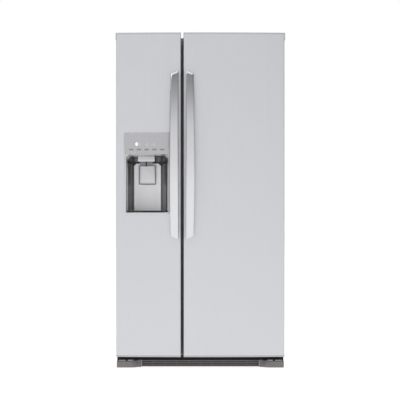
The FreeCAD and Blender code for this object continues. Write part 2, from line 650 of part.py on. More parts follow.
def condenser():
    """Plate fins pierced by rows of tube, and the bracket of the fan's motor."""
    y = (MACHINE_Y + 30, CABINET_DEPTH - 40)
    z = (TRAY_TOP + 6, TRAY_TOP + 206)
    width = CONDENSER_X[1] - CONDENSER_X[0]
    starts = [CONDENSER_X[0] + i * FIN_PITCH for i in range(int(width / FIN_PITCH) + 1)]
    fins = [box((start, start + FIN), y, z) for start in starts]
    tubes = [
        rod(TUBE_R, width, (CONDENSER_X[0], y[0] + 30 + j * 43, z[0] + 25 + k * 50), X_AXIS)
        for j in range(4) for k in range(4)
    ]
    foot = box(CONDENSER_X, grown(y, -20), (TRAY_TOP, z[0] + 2))
    motor_x = FAN_X + 12
    motor = rod(16, CONDENSER_X[0] - motor_x, (motor_x, MACHINE_MIDDLE_Y, FAN_Z), X_AXIS)
    return fuse([foot, motor] + fins + tubes)


def bladed_fan(radius, hub, depth, blades):
    """A fan about +Z with its hub's face at the origin."""
    parts = [rod(hub, depth, (0, 0, 0), Z_AXIS)]
    for i in range(blades):
        blade = box((0, radius), (-radius * 0.22, radius * 0.22), (-1, 1))
        blade.rotate(V(0, 0, 0), X_AXIS, 32)
        blade.translate(V(0, 0, depth / 2))
        blade.rotate(V(0, 0, 0), Z_AXIS, 360 * i / blades)
        parts.append(blade)
    return fuse(parts).common(rod(radius, depth * 3, (0, 0, -depth), Z_AXIS))


def condenser_fan():
    fan = bladed_fan(FAN_R, 20, 22, 5)
    fan.rotate(V(0, 0, 0), Y_AXIS, 90)
    fan.translate(V(FAN_X - 13, MACHINE_MIDDLE_Y, FAN_Z))
    return fan


def rear_cover():
    """The sheet cover of the machine compartment, with two fields of slots."""
    y = (CABINET_DEPTH - REAR_COVER, CABINET_DEPTH)
    cover = box(grown(CABINET_INNER_X, -1), y, (SKIRT_BOTTOM + 14, MACHINE_TOP - 1))
    cuts = [
        box((start + i * SLOT_PITCH, start + i * SLOT_PITCH + SLOT), grown(y, 1), SLOT_Z)
        for start in SLOT_FIELDS for i in range(SLOT_COUNT)
    ]
    cuts.append(box(centred(VALVE_X, 60), grown(y, 1), (0, VALVE_Z + 30)))
    cuts.append(rod(GLAND_R + SHELL_GAP, REAR_COVER + 2, (GLAND_X, y[0] - 1, GLAND_Z), Y_AXIS))
    return cover.cut(group(cuts))


def water_valve():
    """A solenoid valve whose hose thread points out through the notch in the cover."""
    centre = (VALVE_X, CABINET_DEPTH - 50.0, VALVE_Z)
    face = centre[1] + 2 * VALVE_HALF
    body = box(centred(centre[0], 36), (centre[1] - VALVE_HALF, face), centred(centre[2], 2 * VALVE_HALF))
    coil = rod(VALVE_HALF, 40, (centre[0], centre[1], centre[2] + VALVE_HALF), Z_AXIS)
    back = centre[1] - VALVE_HALF
    bracket = box(centred(centre[0], 44), (back, back + 3), (TRAY_TOP, centre[2]))
    inlet = rod(VALVE_INLET_R, VALVE_INLET, (centre[0], face, centre[2]), Y_AXIS)
    return fuse([body, coil, bracket, inlet])


def cord_gland():
    """The grommet in the rear cover where the mains lead enters."""
    start = (GLAND_X, CABINET_DEPTH - GLAND_DEPTH, GLAND_Z)
    body = rod(GLAND_R, GLAND_DEPTH, start, Y_AXIS)
    flange = rod(GLAND_R + 4, 3, (GLAND_X, CABINET_DEPTH - REAR_COVER - 3.5, GLAND_Z), Y_AXIS)
    return fuse([body, flange]).cut(rod(GLAND_BORE_R, GLAND_DEPTH, start, Y_AXIS))


# ---- base trim ----------------------------------------------------------
def cover_outline(inset):
    """Plan of the right foot cover: flat front, then an S back to the grille."""
    outer = HALF_CABINET - inset
    front = -COVER_FRONT + inset
    inner = COVER_INNER_X + inset
    back = -GRILLE_FRONT + inset
    flat = COVER_FLAT_X - inset / 2
    middle = V((flat + inner) / 2, (front + back) / 2, 0)
    bulge_x, bulge_y = COVER_BULGE
    first = Part.Arc(V(flat, front, 0), V(flat - bulge_x, front + bulge_y, 0), middle).toShape()
    second = Part.Arc(middle, V(inner + bulge_x, back - bulge_y, 0), V(inner, back, 0)).toShape()
    rear = -COVER_REAR
    lines = [
        Part.makeLine(V(outer, front, 0), V(flat, front, 0)), first, second,
        Part.makeLine(V(inner, back, 0), V(inner, rear, 0)),
        Part.makeLine(V(inner, rear, 0), V(outer, rear, 0)),
        Part.makeLine(V(outer, rear, 0), V(outer, front, 0)),
    ]
    return Part.Face(Part.Wire(lines))


def foot_covers():
    """Corner covers of the plinth, hollow and open underneath."""
    outer = cover_outline(0)
    outer.translate(V(0, 0, COVER_BOTTOM))
    cover = outer.extrude(V(0, 0, GRILLE_TOP - COVER_BOTTOM))
    outline = [
        (COVER_INNER_X - 1, GRILLE_TOP + 1), (COVER_INNER_X - 1, GRILLE_TOP), (COVER_FLAT_X, COVER_TOP),
        (HALF_CABINET + MARGIN, COVER_TOP), (HALF_CABINET + MARGIN, GRILLE_TOP + 1),
    ]
    start_y = -COVER_FRONT - MARGIN
    above = prism([(x, start_y, z) for x, z in outline], V(0, 4 * MARGIN, 0))
    hollow = cover_outline(COVER_WALL)
    hollow.translate(V(0, 0, COVER_BOTTOM - 1))
    cover = cover.cut(above).cut(hollow.extrude(V(0, 0, COVER_TOP - COVER_WALL - COVER_BOTTOM + 1)))
    return group([cover, mirrored(cover)])


def kick_grille():
    x = (-COVER_INNER_X + 1, COVER_INNER_X - 1)
    y = (-GRILLE_FRONT, -GRILLE_FRONT + GRILLE_THICK)
    grille = box(x, y, (COVER_BOTTOM + 2, GRILLE_TOP))
    places = [(i - (GRILLE_SLOT_COUNT - 1) / 2) * GRILLE_SLOT_PITCH for i in range(GRILLE_SLOT_COUNT)]
    slots = [box(centred(place, GRILLE_SLOT), grown(y, 1), z) for place in places for z in GRILLE_SLOTS_Z]
    grille = grille.cut(group(slots))
    arms = [
        box(centred(s * GRILLE_ARM_X, GRILLE_ARM), (y[1], BEAM_Y[0]), GRILLE_ARM_Z)
        for s in (-1, 1)
    ]
    return fuse([grille] + arms)


# ---- hinges -------------------------------------------------------------
def upper_hinge():
    plate_z = (DECK_Z + HINGE_LIFT, DECK_Z + HINGE_LIFT + HINGE_PLATE)
    foot_y = (HINGE_FOOT_Y, HINGE_FOOT_Y + HINGE_FOOT[1])
    arm = box(centred(HINGE_X, 2 * HINGE_ARM_HALF), (HINGE_Y, foot_y[1]), plate_z)
    nose = rod(HINGE_ARM_HALF, HINGE_PLATE, (HINGE_X, HINGE_Y, plate_z[0]), Z_AXIS)
    foot = box((HINGE_X - HINGE_FOOT[0], HINGE_X + HINGE_ARM_HALF), foot_y, (CABINET_TOP, plate_z[1]))
    pin_end = DECK_Z - PIN_IN_CAP
    pin = rod(PIN_R, plate_z[0] - pin_end, (HINGE_X, HINGE_Y, pin_end), Z_AXIS)
    return fuse([arm, nose, foot, pin])


def lower_hinge():
    plate_z = (LOWER_HINGE_Z, LOWER_HINGE_Z + HINGE_PLATE)
    x = centred(HINGE_X, 2 * LOWER_HINGE_HALF)
    plate = box(x, (HINGE_Y, UPRIGHT_Y[0] + 1), plate_z)
    nose = rod(LOWER_HINGE_HALF, HINGE_PLATE, (HINGE_X, HINGE_Y, plate_z[0]), Z_AXIS)
    upright = box(x, UPRIGHT_Y, BEAM_Z)
    collar = rod(HINGE_COLLAR_R, DOOR_BOTTOM - 1 - plate_z[1], (HINGE_X, HINGE_Y, plate_z[1]), Z_AXIS)
    pin = rod(PIN_R, DOOR_BOTTOM + PIN_IN_CAP - 2 - plate_z[1], (HINGE_X, HINGE_Y, plate_z[1]), Z_AXIS)
    return fuse([plate, nose, upright, collar, pin])


def door_hinges():
    return group([upper_hinge(), mirrored(upper_hinge()), lower_hinge(), mirrored(lower_hinge())])


def hinge_cover_form(inset, bottom):
    """The cover's body over the hinge foot, with a nose that runs out over the pin."""
    top = OVERALL_HEIGHT - HINGE_COVER_DROP - inset
    body_x = grown(HINGE_COVER_X, -inset)
    body = box(body_x, grown(HINGE_COVER_Y, -inset), (bottom[0], top))
    radius = HINGE_COVER_NOSE_R - inset
    nose = box(centred(HINGE_X, 2 * radius), (HINGE_Y, HINGE_COVER_Y[0] + 2 * inset), (bottom[1], top))
    tip = rod(radius, top - bottom[1], (HINGE_X, HINGE_Y, bottom[1]), Z_AXIS)
    return fuse([body, nose, tip])


def hinge_covers():
    """Plastic covers over the upper hinges, lower than the doors' front lips."""
    outside = hinge_cover_form(0, (CABINET_TOP, CABINET_TOP))
    inside = hinge_cover_form(HINGE_COVER_WALL, (CABINET_TOP - 1, DECK_Z))
    cover = outside.cut(inside)
    return group([cover, mirrored(cover)])


# ---- inside the cabinet -------------------------------------------------
def shelf(x, z, back):
    plate = box(x, (SHELF_FRONT, back), (z - SHELF, z))
    rim = box(x, (SHELF_FRONT - SHELF_RIM_THICK, SHELF_FRONT), (z - SHELF_RIM, z + SHELF_RIM_RISE))
    return fuse([plate, rim])


def freezer_shelves():
    return group([shelf(FREEZER_X, z, SHELF_BACK) for z in FREEZER_SHELVES])


def fridge_shelves():
    """Glass shelves, the top cover of the upper crisper and the divider between the crispers."""
    shelves = [shelf(FRIDGE_X, z, TOWER_FRONT - 5) for z in FRIDGE_SHELVES]
    top = STEP_Z - 1
    divider = box(FRIDGE_X, (DRAWER_FRONT - DRAWER_FACE, STEP_Y - 1), (top - SHELF, top))
    return group(shelves + [divider])


def drawer(x, y, z):
    """A moulded drawer with a taller front and a grip lip."""
    body = tub(x, y, z, DRAWER_WALL)
    face = y[0] - DRAWER_FACE
    front = box(x, (face, y[0]), (z[0], z[1] + 2))
    grip_x = grown(x, -GRIP_INSET)
    grip_bottom = z[1] - GRIP_DROP - GRIP_THICK
    grip = box(grip_x, (face - GRIP_DEPTH, face), (grip_bottom, grip_bottom + GRIP_THICK))
    lip_y = (face - GRIP_DEPTH, face - GRIP_DEPTH + GRIP_LIP[0])
    lip = box(grip_x, lip_y, (grip_bottom - GRIP_LIP[1], grip_bottom))
    return fuse([body, front, grip, lip])


def floor_drawer(room_x):
    """A drawer on a compartment's floor, in front of the step."""
    y = (DRAWER_FRONT, STEP_Y - DRAWER_BACK)
    return drawer(grown(room_x, -DRAWER_CLEARANCE), y, (FLOOR_Z + 1, LOWER_DRAWER_TOP))


def crisper_upper():
    y = (DRAWER_FRONT, TOWER_FRONT - 10)
    return drawer(grown(FRIDGE_X, -DRAWER_CLEARANCE), y, (STEP_Z + 1, UPPER_DRAWER_TOP))


def evaporator():
    """A finned coil behind the freezer's rear panel."""
    y = (EVAPORATOR_COVER_Y + EVAPORATOR_GAPS[0], REAR_Y - EVAPORATOR_GAPS[1])
    x = grown(FREEZER_X, -EVAPORATOR_INSET)
    z = (STEP_Z + EVAPORATOR_RISE, EVAPORATOR_TOP)
    starts = [x[0] + COIL_FIN_START + i * COIL_FIN_PITCH for i in range(COIL_FIN_COUNT)]
    fins = [box((start, start + FIN), y, z) for start in starts]
    rows = int((z[1] - z[0] - COIL_START[1]) / COIL_PITCH[1]) + 1
    places = [
        (y[0] + COIL_START[0] + j * COIL_PITCH[0], z[0] + COIL_START[1] + k * COIL_PITCH[1])
        for j in range(COIL_COLUMNS) for k in range(rows)
    ]
    tubes = [rod(TUBE_R, x[1] - x[0], (x[0],) + place, X_AXIS) for place in places]
    ends = [box((e, e + COIL_END), y, z) for e in (x[0], x[1] - COIL_END)]
    return fuse(fins + tubes + ends)


def air_ducts():
    """The freezer's rear panel with its fan opening and motor, and the fresh food air tower."""
    panel_y = (EVAPORATOR_COVER_Y, EVAPORATOR_COVER_Y + PANEL_WALL)
    panel_z = (STEP_Z, BUCKET_Z[0] + 60)
    through = grown(panel_y, 1)
    panel = box(FREEZER_X, panel_y, panel_z)
    fan_start = (FREEZER_MIDDLE, through[0], EVAPORATOR_FAN_Z)
    cuts = [rod(EVAPORATOR_FAN_R + FAN_HOLE_GAP, through[1] - through[0], fan_start, Y_AXIS)]
    for i in range(INLET_COUNT):
        start = FREEZER_X[0] + 20 + i * 2 * INLET
        cuts.append(box((start, start + INLET), through, (STEP_Z + 20, STEP_Z + 50)))
    roof = box(FREEZER_X, (panel_y[1], REAR_Y), (panel_z[1] - PANEL_WALL, panel_z[1]))
    freezer_panel = fuse([panel.cut(group(cuts)), roof])
    motor = rod(MOTOR_R, MOTOR, (FREEZER_MIDDLE, REAR_Y - MOTOR - MOTOR_GAP, EVAPORATOR_FAN_Z), Y_AXIS)
    mount_x = centred(FREEZER_MIDDLE, 4 * MOTOR_R)
    mount = box(mount_x, (REAR_Y - 3, REAR_Y), centred(EVAPORATOR_FAN_Z, 4 * MOTOR_R))
    tower_z = (FRIDGE_SHELVES[0] + 20, CEILING_Z - 60)
    tower = box(centred(FRIDGE_MIDDLE, 2 * TOWER_HALF), (TOWER_FRONT, REAR_Y), tower_z)
    outlet_x = centred(FRIDGE_MIDDLE, 2 * TOWER_HALF - 30)
    outlet_y = (TOWER_FRONT - 1, TOWER_FRONT + OUTLET)
    lows = [z + 60 for z in FRIDGE_SHELVES[:-1]] + [FRIDGE_SHELVES[-1] + 90]
    outlets = [box(outlet_x, outlet_y, (z, z + OUTLET)) for z in lows]
    return group([freezer_panel, fuse([motor, mount]), tower.cut(group(outlets))])


def evaporator_fan():
    fan = bladed_fan(EVAPORATOR_FAN_R, *FAN_HUB, FAN_BLADES)
    fan.rotate(V(0, 0, 0), X_AXIS, 90)
    fan.translate(V(FREEZER_MIDDLE, REAR_Y - FAN_FROM_BACK, EVAPORATOR_FAN_Z))
    return fan


def interior_lamps():
    lamps = []
    for middle, (width, depth, height) in ((FRIDGE_MIDDLE, FRIDGE_LAMP), (FREEZER_MIDDLE, FREEZER_LAMP)):
        lamps.append(box(centred(middle, width), (LAMP_Y, LAMP_Y + depth), (CEILING_Z - height, CEILING_Z)))
    return group(lamps)


def water_filter():
    """A quarter-turn cartridge with a bar grip at its front end."""
    can = rod(FILTER_R, FILTER_Y[1] - FILTER_Y[0], (FILTER_X, FILTER_Y[0], FILTER_Z), Y_AXIS)
    knob_y = FILTER_Y[0] - FILTER_KNOB
    knob = rod(FILTER_R - 3, FILTER_KNOB, (FILTER_X, knob_y, FILTER_Z), Y_AXIS)
    width, depth, height = FILTER_GRIP
    grip = box(centred(FILTER_X, width), (knob_y + 2 - depth, knob_y + 2), centred(FILTER_Z, height))
    return fuse([can, knob, grip])


def ice_maker():
    """A mould with cups, hung on a bracket on the side wall, with its drive head in front."""
    mould_x = (FREEZER_X[0] + MOULD_INSETS[0], FREEZER_X[1] - MOULD_INSETS[1])
    z = (BUCKET_Z[1] + MOULD_RISE, BUCKET_Z[1] + MOULD_RISE + MOULD_HEIGHT)
    mould = box(mould_x, MOULD_Y, z)
    cup_x = grown(mould_x, -MOULD_CUP_MARGIN)
    starts = [MOULD_Y[0] + MOULD_CUP_START + i * MOULD_CUP_PITCH for i in range(MOULD_CUPS)]
    cups = [box(cup_x, (start, start + MOULD_CUP), (z[0] + MOULD_CUP_FLOOR, z[1] + 1)) for start in starts]
    head_x = (mould_x[0] - MAKER_HEAD_GROW[0], mould_x[1] + MAKER_HEAD_GROW[1])
    head_z = (z[0] - MAKER_HEAD_RISE[0], z[1] + MAKER_HEAD_RISE[1])
    head = box(head_x, (MOULD_Y[0] - MAKER_HEAD, MOULD_Y[0]), head_z)
    bracket = box((FREEZER_X[0], mould_x[0]), MOULD_Y, (z[1] - MAKER_BRACKET, z[1]))
    return fuse([mould.cut(group(cups)), head, bracket])


def ice_bucket():
    """The bin under the ice maker; its front outlet faces the chute in the door."""
    bucket = tub(BUCKET_X, (BUCKET_FRONT, BUCKET_BACK), BUCKET_Z, BIN_WALL)
    outlet_y = (BUCKET_FRONT - 1, BUCKET_FRONT + BIN_WALL + 1)
    outlet = box(grown(CHUTE_X, -6), outlet_y, (BUCKET_Z[0] + BIN_WALL, BUCKET_Z[0] + BUCKET_OUTLET))
    shaft_hole = rod(AUGER_ROD_R + SHAFT_CLEARANCE, 20, (AUGER_X, BUCKET_BACK - 10, AUGER_Z), Y_AXIS)
    width, depth, height = AUGER_DRIVE
    drive_y = BUCKET_BACK + AUGER_DRIVE_GAP
    drive = box(centred(AUGER_X, width), (drive_y, drive_y + depth), (BUCKET_Z[0], BUCKET_Z[0] + height))
    shelf_y = (BUCKET_FRONT + 20, EVAPORATOR_COVER_Y)
    shelf_under = box(FREEZER_X, shelf_y, (BUCKET_Z[0] - BUCKET_SHELF, BUCKET_Z[0]))
    return group([bucket.cut(outlet).cut(shaft_hole), fuse([drive, shelf_under])])


def ice_auger():
    """A spiral of flat paddles on a rod, turned by the drive behind the bucket."""
    start_y = BUCKET_FRONT + AUGER_START
    parts = [rod(AUGER_ROD_R, BUCKET_BACK + 10 - start_y, (AUGER_X, start_y, AUGER_Z), Y_AXIS)]
    step = AUGER_PITCH / 4
    thick, width = AUGER_BLADE
    for i in range(int((BUCKET_BACK - AUGER_MARGIN[1] - start_y) / step)):
        blade = box((-AUGER_R, AUGER_R), centred(0, thick), centred(0, width))
        blade.rotate(V(0, 0, 0), Y_AXIS, 45 * i)
        blade.translate(V(AUGER_X, start_y + AUGER_MARGIN[0] + i * step, AUGER_Z))
        parts.append(blade)
    return fuse(parts)


# ---- doors --------------------------------------------------------------
def door_skin(x):
    """Folded steel skin, with its sides cut down behind the lip so that the hinge arm swings over."""
    z = (DOOR_BOTTOM + CAP_THICK, OVERALL_HEIGHT - CAP_BAND)
    skin = rounded_slab(x, z, 0, DOOR_BACK, DOOR_CORNER)
    inner = rounded_slab(grown(x, -SHEET), grown(z, 1), SHEET, DOOR_BACK + MARGIN, DOOR_CORNER - SHEET)
    behind_lip = box(grown(x, MARGIN), (-CAP_LIP_BACK, MARGIN), (DECK_Z, OVERALL_HEIGHT))
    return skin.cut(inner).cut(behind_lip)


def dike_box(room_x):
    """Outer rectangle of the liner's ribs: clear of the compartment walls on every side."""
    return grown(room_x, -DIKE_GAP), (FLOOR_Z + DIKE_GAP, CEILING_Z - DIKE_GAP)


def liner_ribs(room_x, wall, has_block):
    """The ring of ribs and the dispenser block behind the door's plane, taken in by a wall."""
    x, z = dike_box(room_x)
    depth = (DOOR_BACK - DOOR_LINER, DIKE_REACH - wall)
    ribs = box(grown(x, -wall), depth, grown(z, -wall))
    inside_x = grown(x, -DIKE_RIB + wall)
    inside_z = grown(z, -DIKE_RIB + wall)
    ribs = ribs.cut(box(inside_x, (DOOR_BACK - MARGIN, DIKE_REACH + 1), inside_z))
    if has_block:
        ribs = ribs.fuse(box(grown(x, -wall), depth, grown(DISPENSER_BLOCK_Z, -wall)))
    return ribs.removeSplitter()


def door_liner(door_x, room_x, has_block):
    plate_z = (DOOR_BOTTOM + CAP_THICK, DECK_Z - CAP_THICK)
    plate = box(grown(door_x, -SHEET), (DOOR_BACK - DOOR_LINER, DOOR_BACK), plate_z)
    outer = plate.fuse(liner_ribs(room_x, 0, has_block))
    return outer.cut(liner_ribs(room_x, DOOR_LINER, has_block)).removeSplitter()


def door_foam(door_x, room_x, has_block):
    z = (DOOR_BOTTOM + CAP_THICK, DECK_Z - CAP_THICK)
    slab = rounded_slab(grown(door_x, -SHEET), z, SHEET, DOOR_BACK - DOOR_LINER, DOOR_CORNER - SHEET)
    wall, length = PIN_BORE_IN_FOAM
    bores = [
        rod(PIN_R + wall, length, (s * HINGE_X, HINGE_Y, at), Z_AXIS)
        for s in (-1, 1) for at in (z[0], z[1] - length)
    ]
    body = slab.fuse(liner_ribs(room_x, DOOR_LINER + RIB_FOAM_GAP, has_block)).removeSplitter()
    for bore in bores:
        body = body.cut(bore)
    return body


def door_caps(x, hinge_side):
    """Top cap with its raised lip and outer cheek, and the bottom cap; both carry the hinge bores."""
    deck_z = (DECK_Z - CAP_THICK, DECK_Z)
    inside = grown(x, -SHEET)
    inner_r = DOOR_CORNER - SHEET
    deck = rounded_slab(inside, deck_z, SHEET, DOOR_BACK, inner_r)
    lip_low = rounded_slab(inside, (DECK_Z, OVERALL_HEIGHT - CAP_BAND), SHEET, -CAP_LIP_BACK, inner_r)
    lip_band = rounded_slab(x, (OVERALL_HEIGHT - CAP_BAND, OVERALL_HEIGHT), 0, -CAP_LIP_BACK, DOOR_CORNER)
    edge = hinge_side * HALF_DOORS
    wing_front = DOOR_EDGE_FRONT + DOOR_CORNER
    wing_z = (OVERALL_HEIGHT - CAP_WING_DROP, OVERALL_HEIGHT)
    wing = box((edge, edge + hinge_side * CAP_WING), (wing_front, -CAP_LIP_BACK), wing_z)
    tie_z = (OVERALL_HEIGHT - CAP_BAND, OVERALL_HEIGHT)
    tie = box((edge - hinge_side * CAP_TIE, edge), (wing_front + 2, -CAP_LIP_BACK), tie_z)
    hinge = (hinge_side * HINGE_X, HINGE_Y)
    bore_r = PIN_R + PIN_CLEARANCE
    boss_r = PIN_R + CAP_BOSS_WALL
    boss = rod(boss_r, CAP_BOSS, hinge + (DECK_Z - CAP_THICK - CAP_BOSS,), Z_AXIS)
    top = fuse([deck, lip_low, lip_band, wing, tie, boss])
    top = top.cut(rod(bore_r, MARGIN, hinge + (DECK_Z - 40,), Z_AXIS))
    bottom = rounded_slab(x, (DOOR_BOTTOM, DOOR_BOTTOM + CAP_THICK), 0, DOOR_BACK, DOOR_CORNER)
    socket = rod(boss_r, CAP_BOSS, hinge + (DOOR_BOTTOM + CAP_THICK,), Z_AXIS)
    bottom = fuse([bottom, socket]).cut(rod(bore_r, MARGIN, hinge + (DOOR_BOTTOM - 10,), Z_AXIS))
    return group([top, bottom])


def gasket(x, hinge_side):
    left = GASKET_EDGE if hinge_side < 0 else GASKET_FREE_EDGE
    right = GASKET_EDGE if hinge_side > 0 else GASKET_FREE_EDGE
    outer_x = (x[0] + left, x[1] - right)
    outer_z = (FLOOR_Z - LIP + 3, CEILING_Z + LIP - 3)
    ring = box(outer_x, (DOOR_BACK, -0.3), outer_z)
    ring = ring.cut(box(grown(outer_x, -GASKET_WIDTH), (DOOR_BACK - 1, 1), grown(outer_z, -GASKET_WIDTH)))
    groove = GASKET_WIDTH - 3
    bellows = box(grown(outer_x, -groove), (DOOR_BACK + 4, DOOR_BACK + 8), grown(outer_z, -groove))
    return ring.cut(bellows)


def handle(x, outer_side):
    """A bowed bar on two posts; its ends slant, its gap side is the longer one."""
    z0, z1 = HANDLE_Z
    middle_z = (z0 + z1) / 2
    skin = front_y(sum(x) / 2)
    gap_x = x[1] if outer_side < 0 else x[0]
    far_x = x[0] if outer_side < 0 else x[1]
    end_x = far_x - outer_side * HANDLE_TAPER
    low = V(gap_x, 0, z0)
    high = V(gap_x, 0, z1)
    low_far = V(end_x, 0, z0 + HANDLE_SLANT)
    high_far = V(end_x, 0, z1 - HANDLE_SLANT)
    outline = Part.Wire([
        Part.makeLine(low, high), Part.makeLine(high, high_far),
        Part.Arc(high_far, V(far_x, 0, middle_z), low_far).toShape(), Part.makeLine(low_far, low),
    ])
    plan = Part.Face(outline).extrude(V(0, -6 * MARGIN, 0))

    def bow(depth):
        ends = skin - HANDLE_REACH + HANDLE_BOW + depth
        return (V(0, ends, z0), V(0, skin - HANDLE_REACH + depth, middle_z), V(0, ends, z1))

    outer = bow(0)
    inner = bow(HANDLE_THICK)
    side = Part.Wire([
        Part.Arc(*outer).toShape(), Part.makeLine(outer[2], inner[2]),
        Part.Arc(*reversed(inner)).toShape(), Part.makeLine(inner[0], outer[0]),
    ])
    band = Part.Face(side).extrude(V(HANDLE_WIDTH + 2 * MARGIN, 0, 0))
    band.translate(V(min(x) - MARGIN, 0, 0))
    bar = plan.common(band)
    post_x = centred(sum(x) / 2, HANDLE_POST)
    seat = front_y(max(post_x, key=abs)) - SEAT_GAP
    posts = [
        box(post_x, (skin - HANDLE_REACH + HANDLE_BOW + 4, seat), centred(at, HANDLE_POST))
        for at in (z0 + HANDLE_POST_IN, z1 - HANDLE_POST_IN)
    ]
    face = arc_slab(grown(x, MARGIN), (z0, z1), -6 * MARGIN, back_inset=-SEAT_GAP)
    return fuse([bar] + [p.common(face) for p in posts])


def door_bins(room_x, reach, levels):
    x, _ = dike_box(room_x)
    span = grown(x, -DIKE_RIB - BIN_CLEARANCE)
    return [tub(span, (DOOR_BACK, reach), z, BIN_WALL) for z in levels]


def freezer_door_bins():
    return group(door_bins(FREEZER_X, FREEZER_BIN_REACH, FREEZER_BINS))


def fridge_door_bins():
    bins = door_bins(FRIDGE_X, FRIDGE_BIN_REACH, FRIDGE_BINS)
    dairy = (DAIRY_FLOOR, DAIRY_FLOOR + DAIRY_HEIGHT)
    return group(bins + door_bins(FRIDGE_X, DAIRY_REACH, [dairy]))


def dairy_lid():
    """A lid over the top and front of the dairy box, with stub pins in line along its back edge."""
    x, _ = dike_box(FRIDGE_X)
    span = grown(x, -DIKE_RIB - BIN_CLEARANCE - 1)
    top = DAIRY_FLOOR + DAIRY_HEIGHT + 1
    deck = box(span, (LID_PIVOT_Y, DAIRY_REACH + 4), (top, top + LID))
    front = box(span, (DAIRY_REACH + 1, DAIRY_REACH + 4), (top - LID_FRONT, top))
    roll = rod(LID / 2 + 1, span[1] - span[0], (span[0], LID_PIVOT_Y, top + LID / 2 + 1), X_AXIS)
    return fuse([deck, front, roll])


# ---- dispenser ----------------------------------------------------------
def recess_form(grow, front):
    """The dispenser's tapered recess, grown by a wall and carried on to a front plane."""
    mouth_y = front_y(DISPENSER_MIDDLE)

    def section(at):
        share = (at - mouth_y) / RECESS_DEPTH
        x = [m + (b - m) * share for m, b in zip(RECESS_MOUTH_X, RECESS_BACK_X)]
        z = [m + (b - m) * share for m, b in zip(RECESS_MOUTH_Z, RECESS_BACK_Z)]
        x = grown(x, grow)
        z = grown(z, grow)
        cut = RECESS_CHAMFER
        points = [
            (x[0], z[0]), (x[1], z[0]), (x[1], z[1] - cut),
            (x[1] - cut, z[1]), (x[0] + cut, z[1]), (x[0], z[1] - cut),
        ]
        return Part.makePolygon([V(px, at, pz) for px, pz in points + points[:1]])

    return Part.makeLoft([section(front), section(RECESS_BACK_Y + grow)], True, True)


def paddle_pocket(grow):
    y = (RECESS_BACK_Y - 1, RECESS_BACK_Y + POCKET_DEPTH + grow)
    return box(grown(PADDLE_X, POCKET_MARGIN + grow), y, grown(PADDLE_Z, POCKET_MARGIN + grow))


def chute_form(grow, x):
    """The ice chute: straight down behind the panel, slanting up to the door's inner face."""
    inside = [
        (CHUTE_Y[0], CHUTE_BOTTOM), (CHUTE_Y[1], CHUTE_BOTTOM), (CHUTE_Y[1], CHUTE_BEND_Z[0]),
        (DIKE_REACH, CHUTE_ENTRY_Z[0]), (DIKE_REACH, CHUTE_ENTRY_Z[1]), (CHUTE_Y[0], CHUTE_BEND_Z[1]),
    ]
    face = Part.Face(Part.makePolygon([V(0, y, z) for y, z in inside + inside[:1]]))
    if grow:
        face = face.makeOffset2D(grow, 2)
    face.translate(V(x[0], 0, 0))
    return face.extrude(V(x[1] - x[0], 0, 0))


def chute_housing():
    """The duct with its visible housing in the recess, and the spout collar below."""
    limits = box(CHUTE_X, (CHUTE_FRONT - MARGIN, DIKE_REACH), (CHUTE_BOTTOM, CHUTE_ENTRY_Z[1] + MARGIN))
    outer = chute_form(CHUTE_WALL, CHUTE_X).common(limits)
    rim_top = CHUTE_BOTTOM + SPOUT_WALL
    spout_x = grown(CHUTE_X, -SPOUT_INSET)
    spout_y = grown(CHUTE_Y, -CHUTE_WALL - SPOUT_WALL / 2)
    collar = box(spout_x, spout_y, (SPOUT_BOTTOM, rim_top))
    rim = box(CHUTE_X, grown(CHUTE_Y, CHUTE_WALL), (CHUTE_BOTTOM, rim_top))
    mouth = box(grown(spout_x, -SPOUT_WALL), grown(spout_y, -SPOUT_WALL), (SPOUT_BOTTOM - 1, rim_top + 1))
    duct = outer.cut(chute_form(0, grown(CHUTE_X, -CHUTE_WALL)))
    return fuse([duct, collar.fuse(rim).cut(mouth)])


def chute_flap():
    """A flap across the duct, on stub pins in line along its rear edge."""
    x = grown(CHUTE_X, -CHUTE_WALL - 0.5)
    plate = box(x, (CHUTE_Y[0] + 4, FLAP_PIVOT_Y), (FLAP_Z - FLAP_THICK / 2, FLAP_Z + FLAP_THICK / 2))
    roll = rod(FLAP_THICK / 2 + 1, x[1] - x[0], (x[0], FLAP_PIVOT_Y, FLAP_Z), X_AXIS)
    return fuse([plate, roll])


def dispenser_recess():
    mouth = arc_slab(grown(DISPENSER_X, 10), grown(DISPENSER_Z, 10), FRAME_BODY + 0.2, back_y=200.0)
    outer = recess_form(RECESS_WALL, RECESS_START).fuse(paddle_pocket(RECESS_WALL))
    inner = recess_form(0, RECESS_START - 1).fuse(paddle_pocket(0))
    shell = outer.cut(inner).common(mouth)
    ear_z = centred(PADDLE_PIVOT_Z, 2 * EAR_HALF)
    ear_y = (PADDLE_Y - EAR_FRONT, RECESS_BACK_Y + 1)
    left = PADDLE_X[0] - EAR_GAP
    right = PADDLE_X[1] + EAR_GAP
    ears = [box((left - EAR, left), ear_y, ear_z), box((right, right + EAR), ear_y, ear_z)]
    shell = fuse([shell] + ears)
    pin_line = rod(PIVOT_R + SHAFT_CLEARANCE, 200, (PADDLE_X[0] - 60, PADDLE_Y, PADDLE_PIVOT_Z), X_AXIS)
    shell = shell.cut(pin_line.common(box((PADDLE_X[0] - 8, PADDLE_X[1] + 8), (-200, 200), (0, 2000))))
    duct = box(grown(CHUTE_X, 0.3), grown(CHUTE_Y, CHUTE_WALL + 0.5), (SPOUT_BOTTOM, CHUTE_BOTTOM + 60))
    return shell.cut(duct)


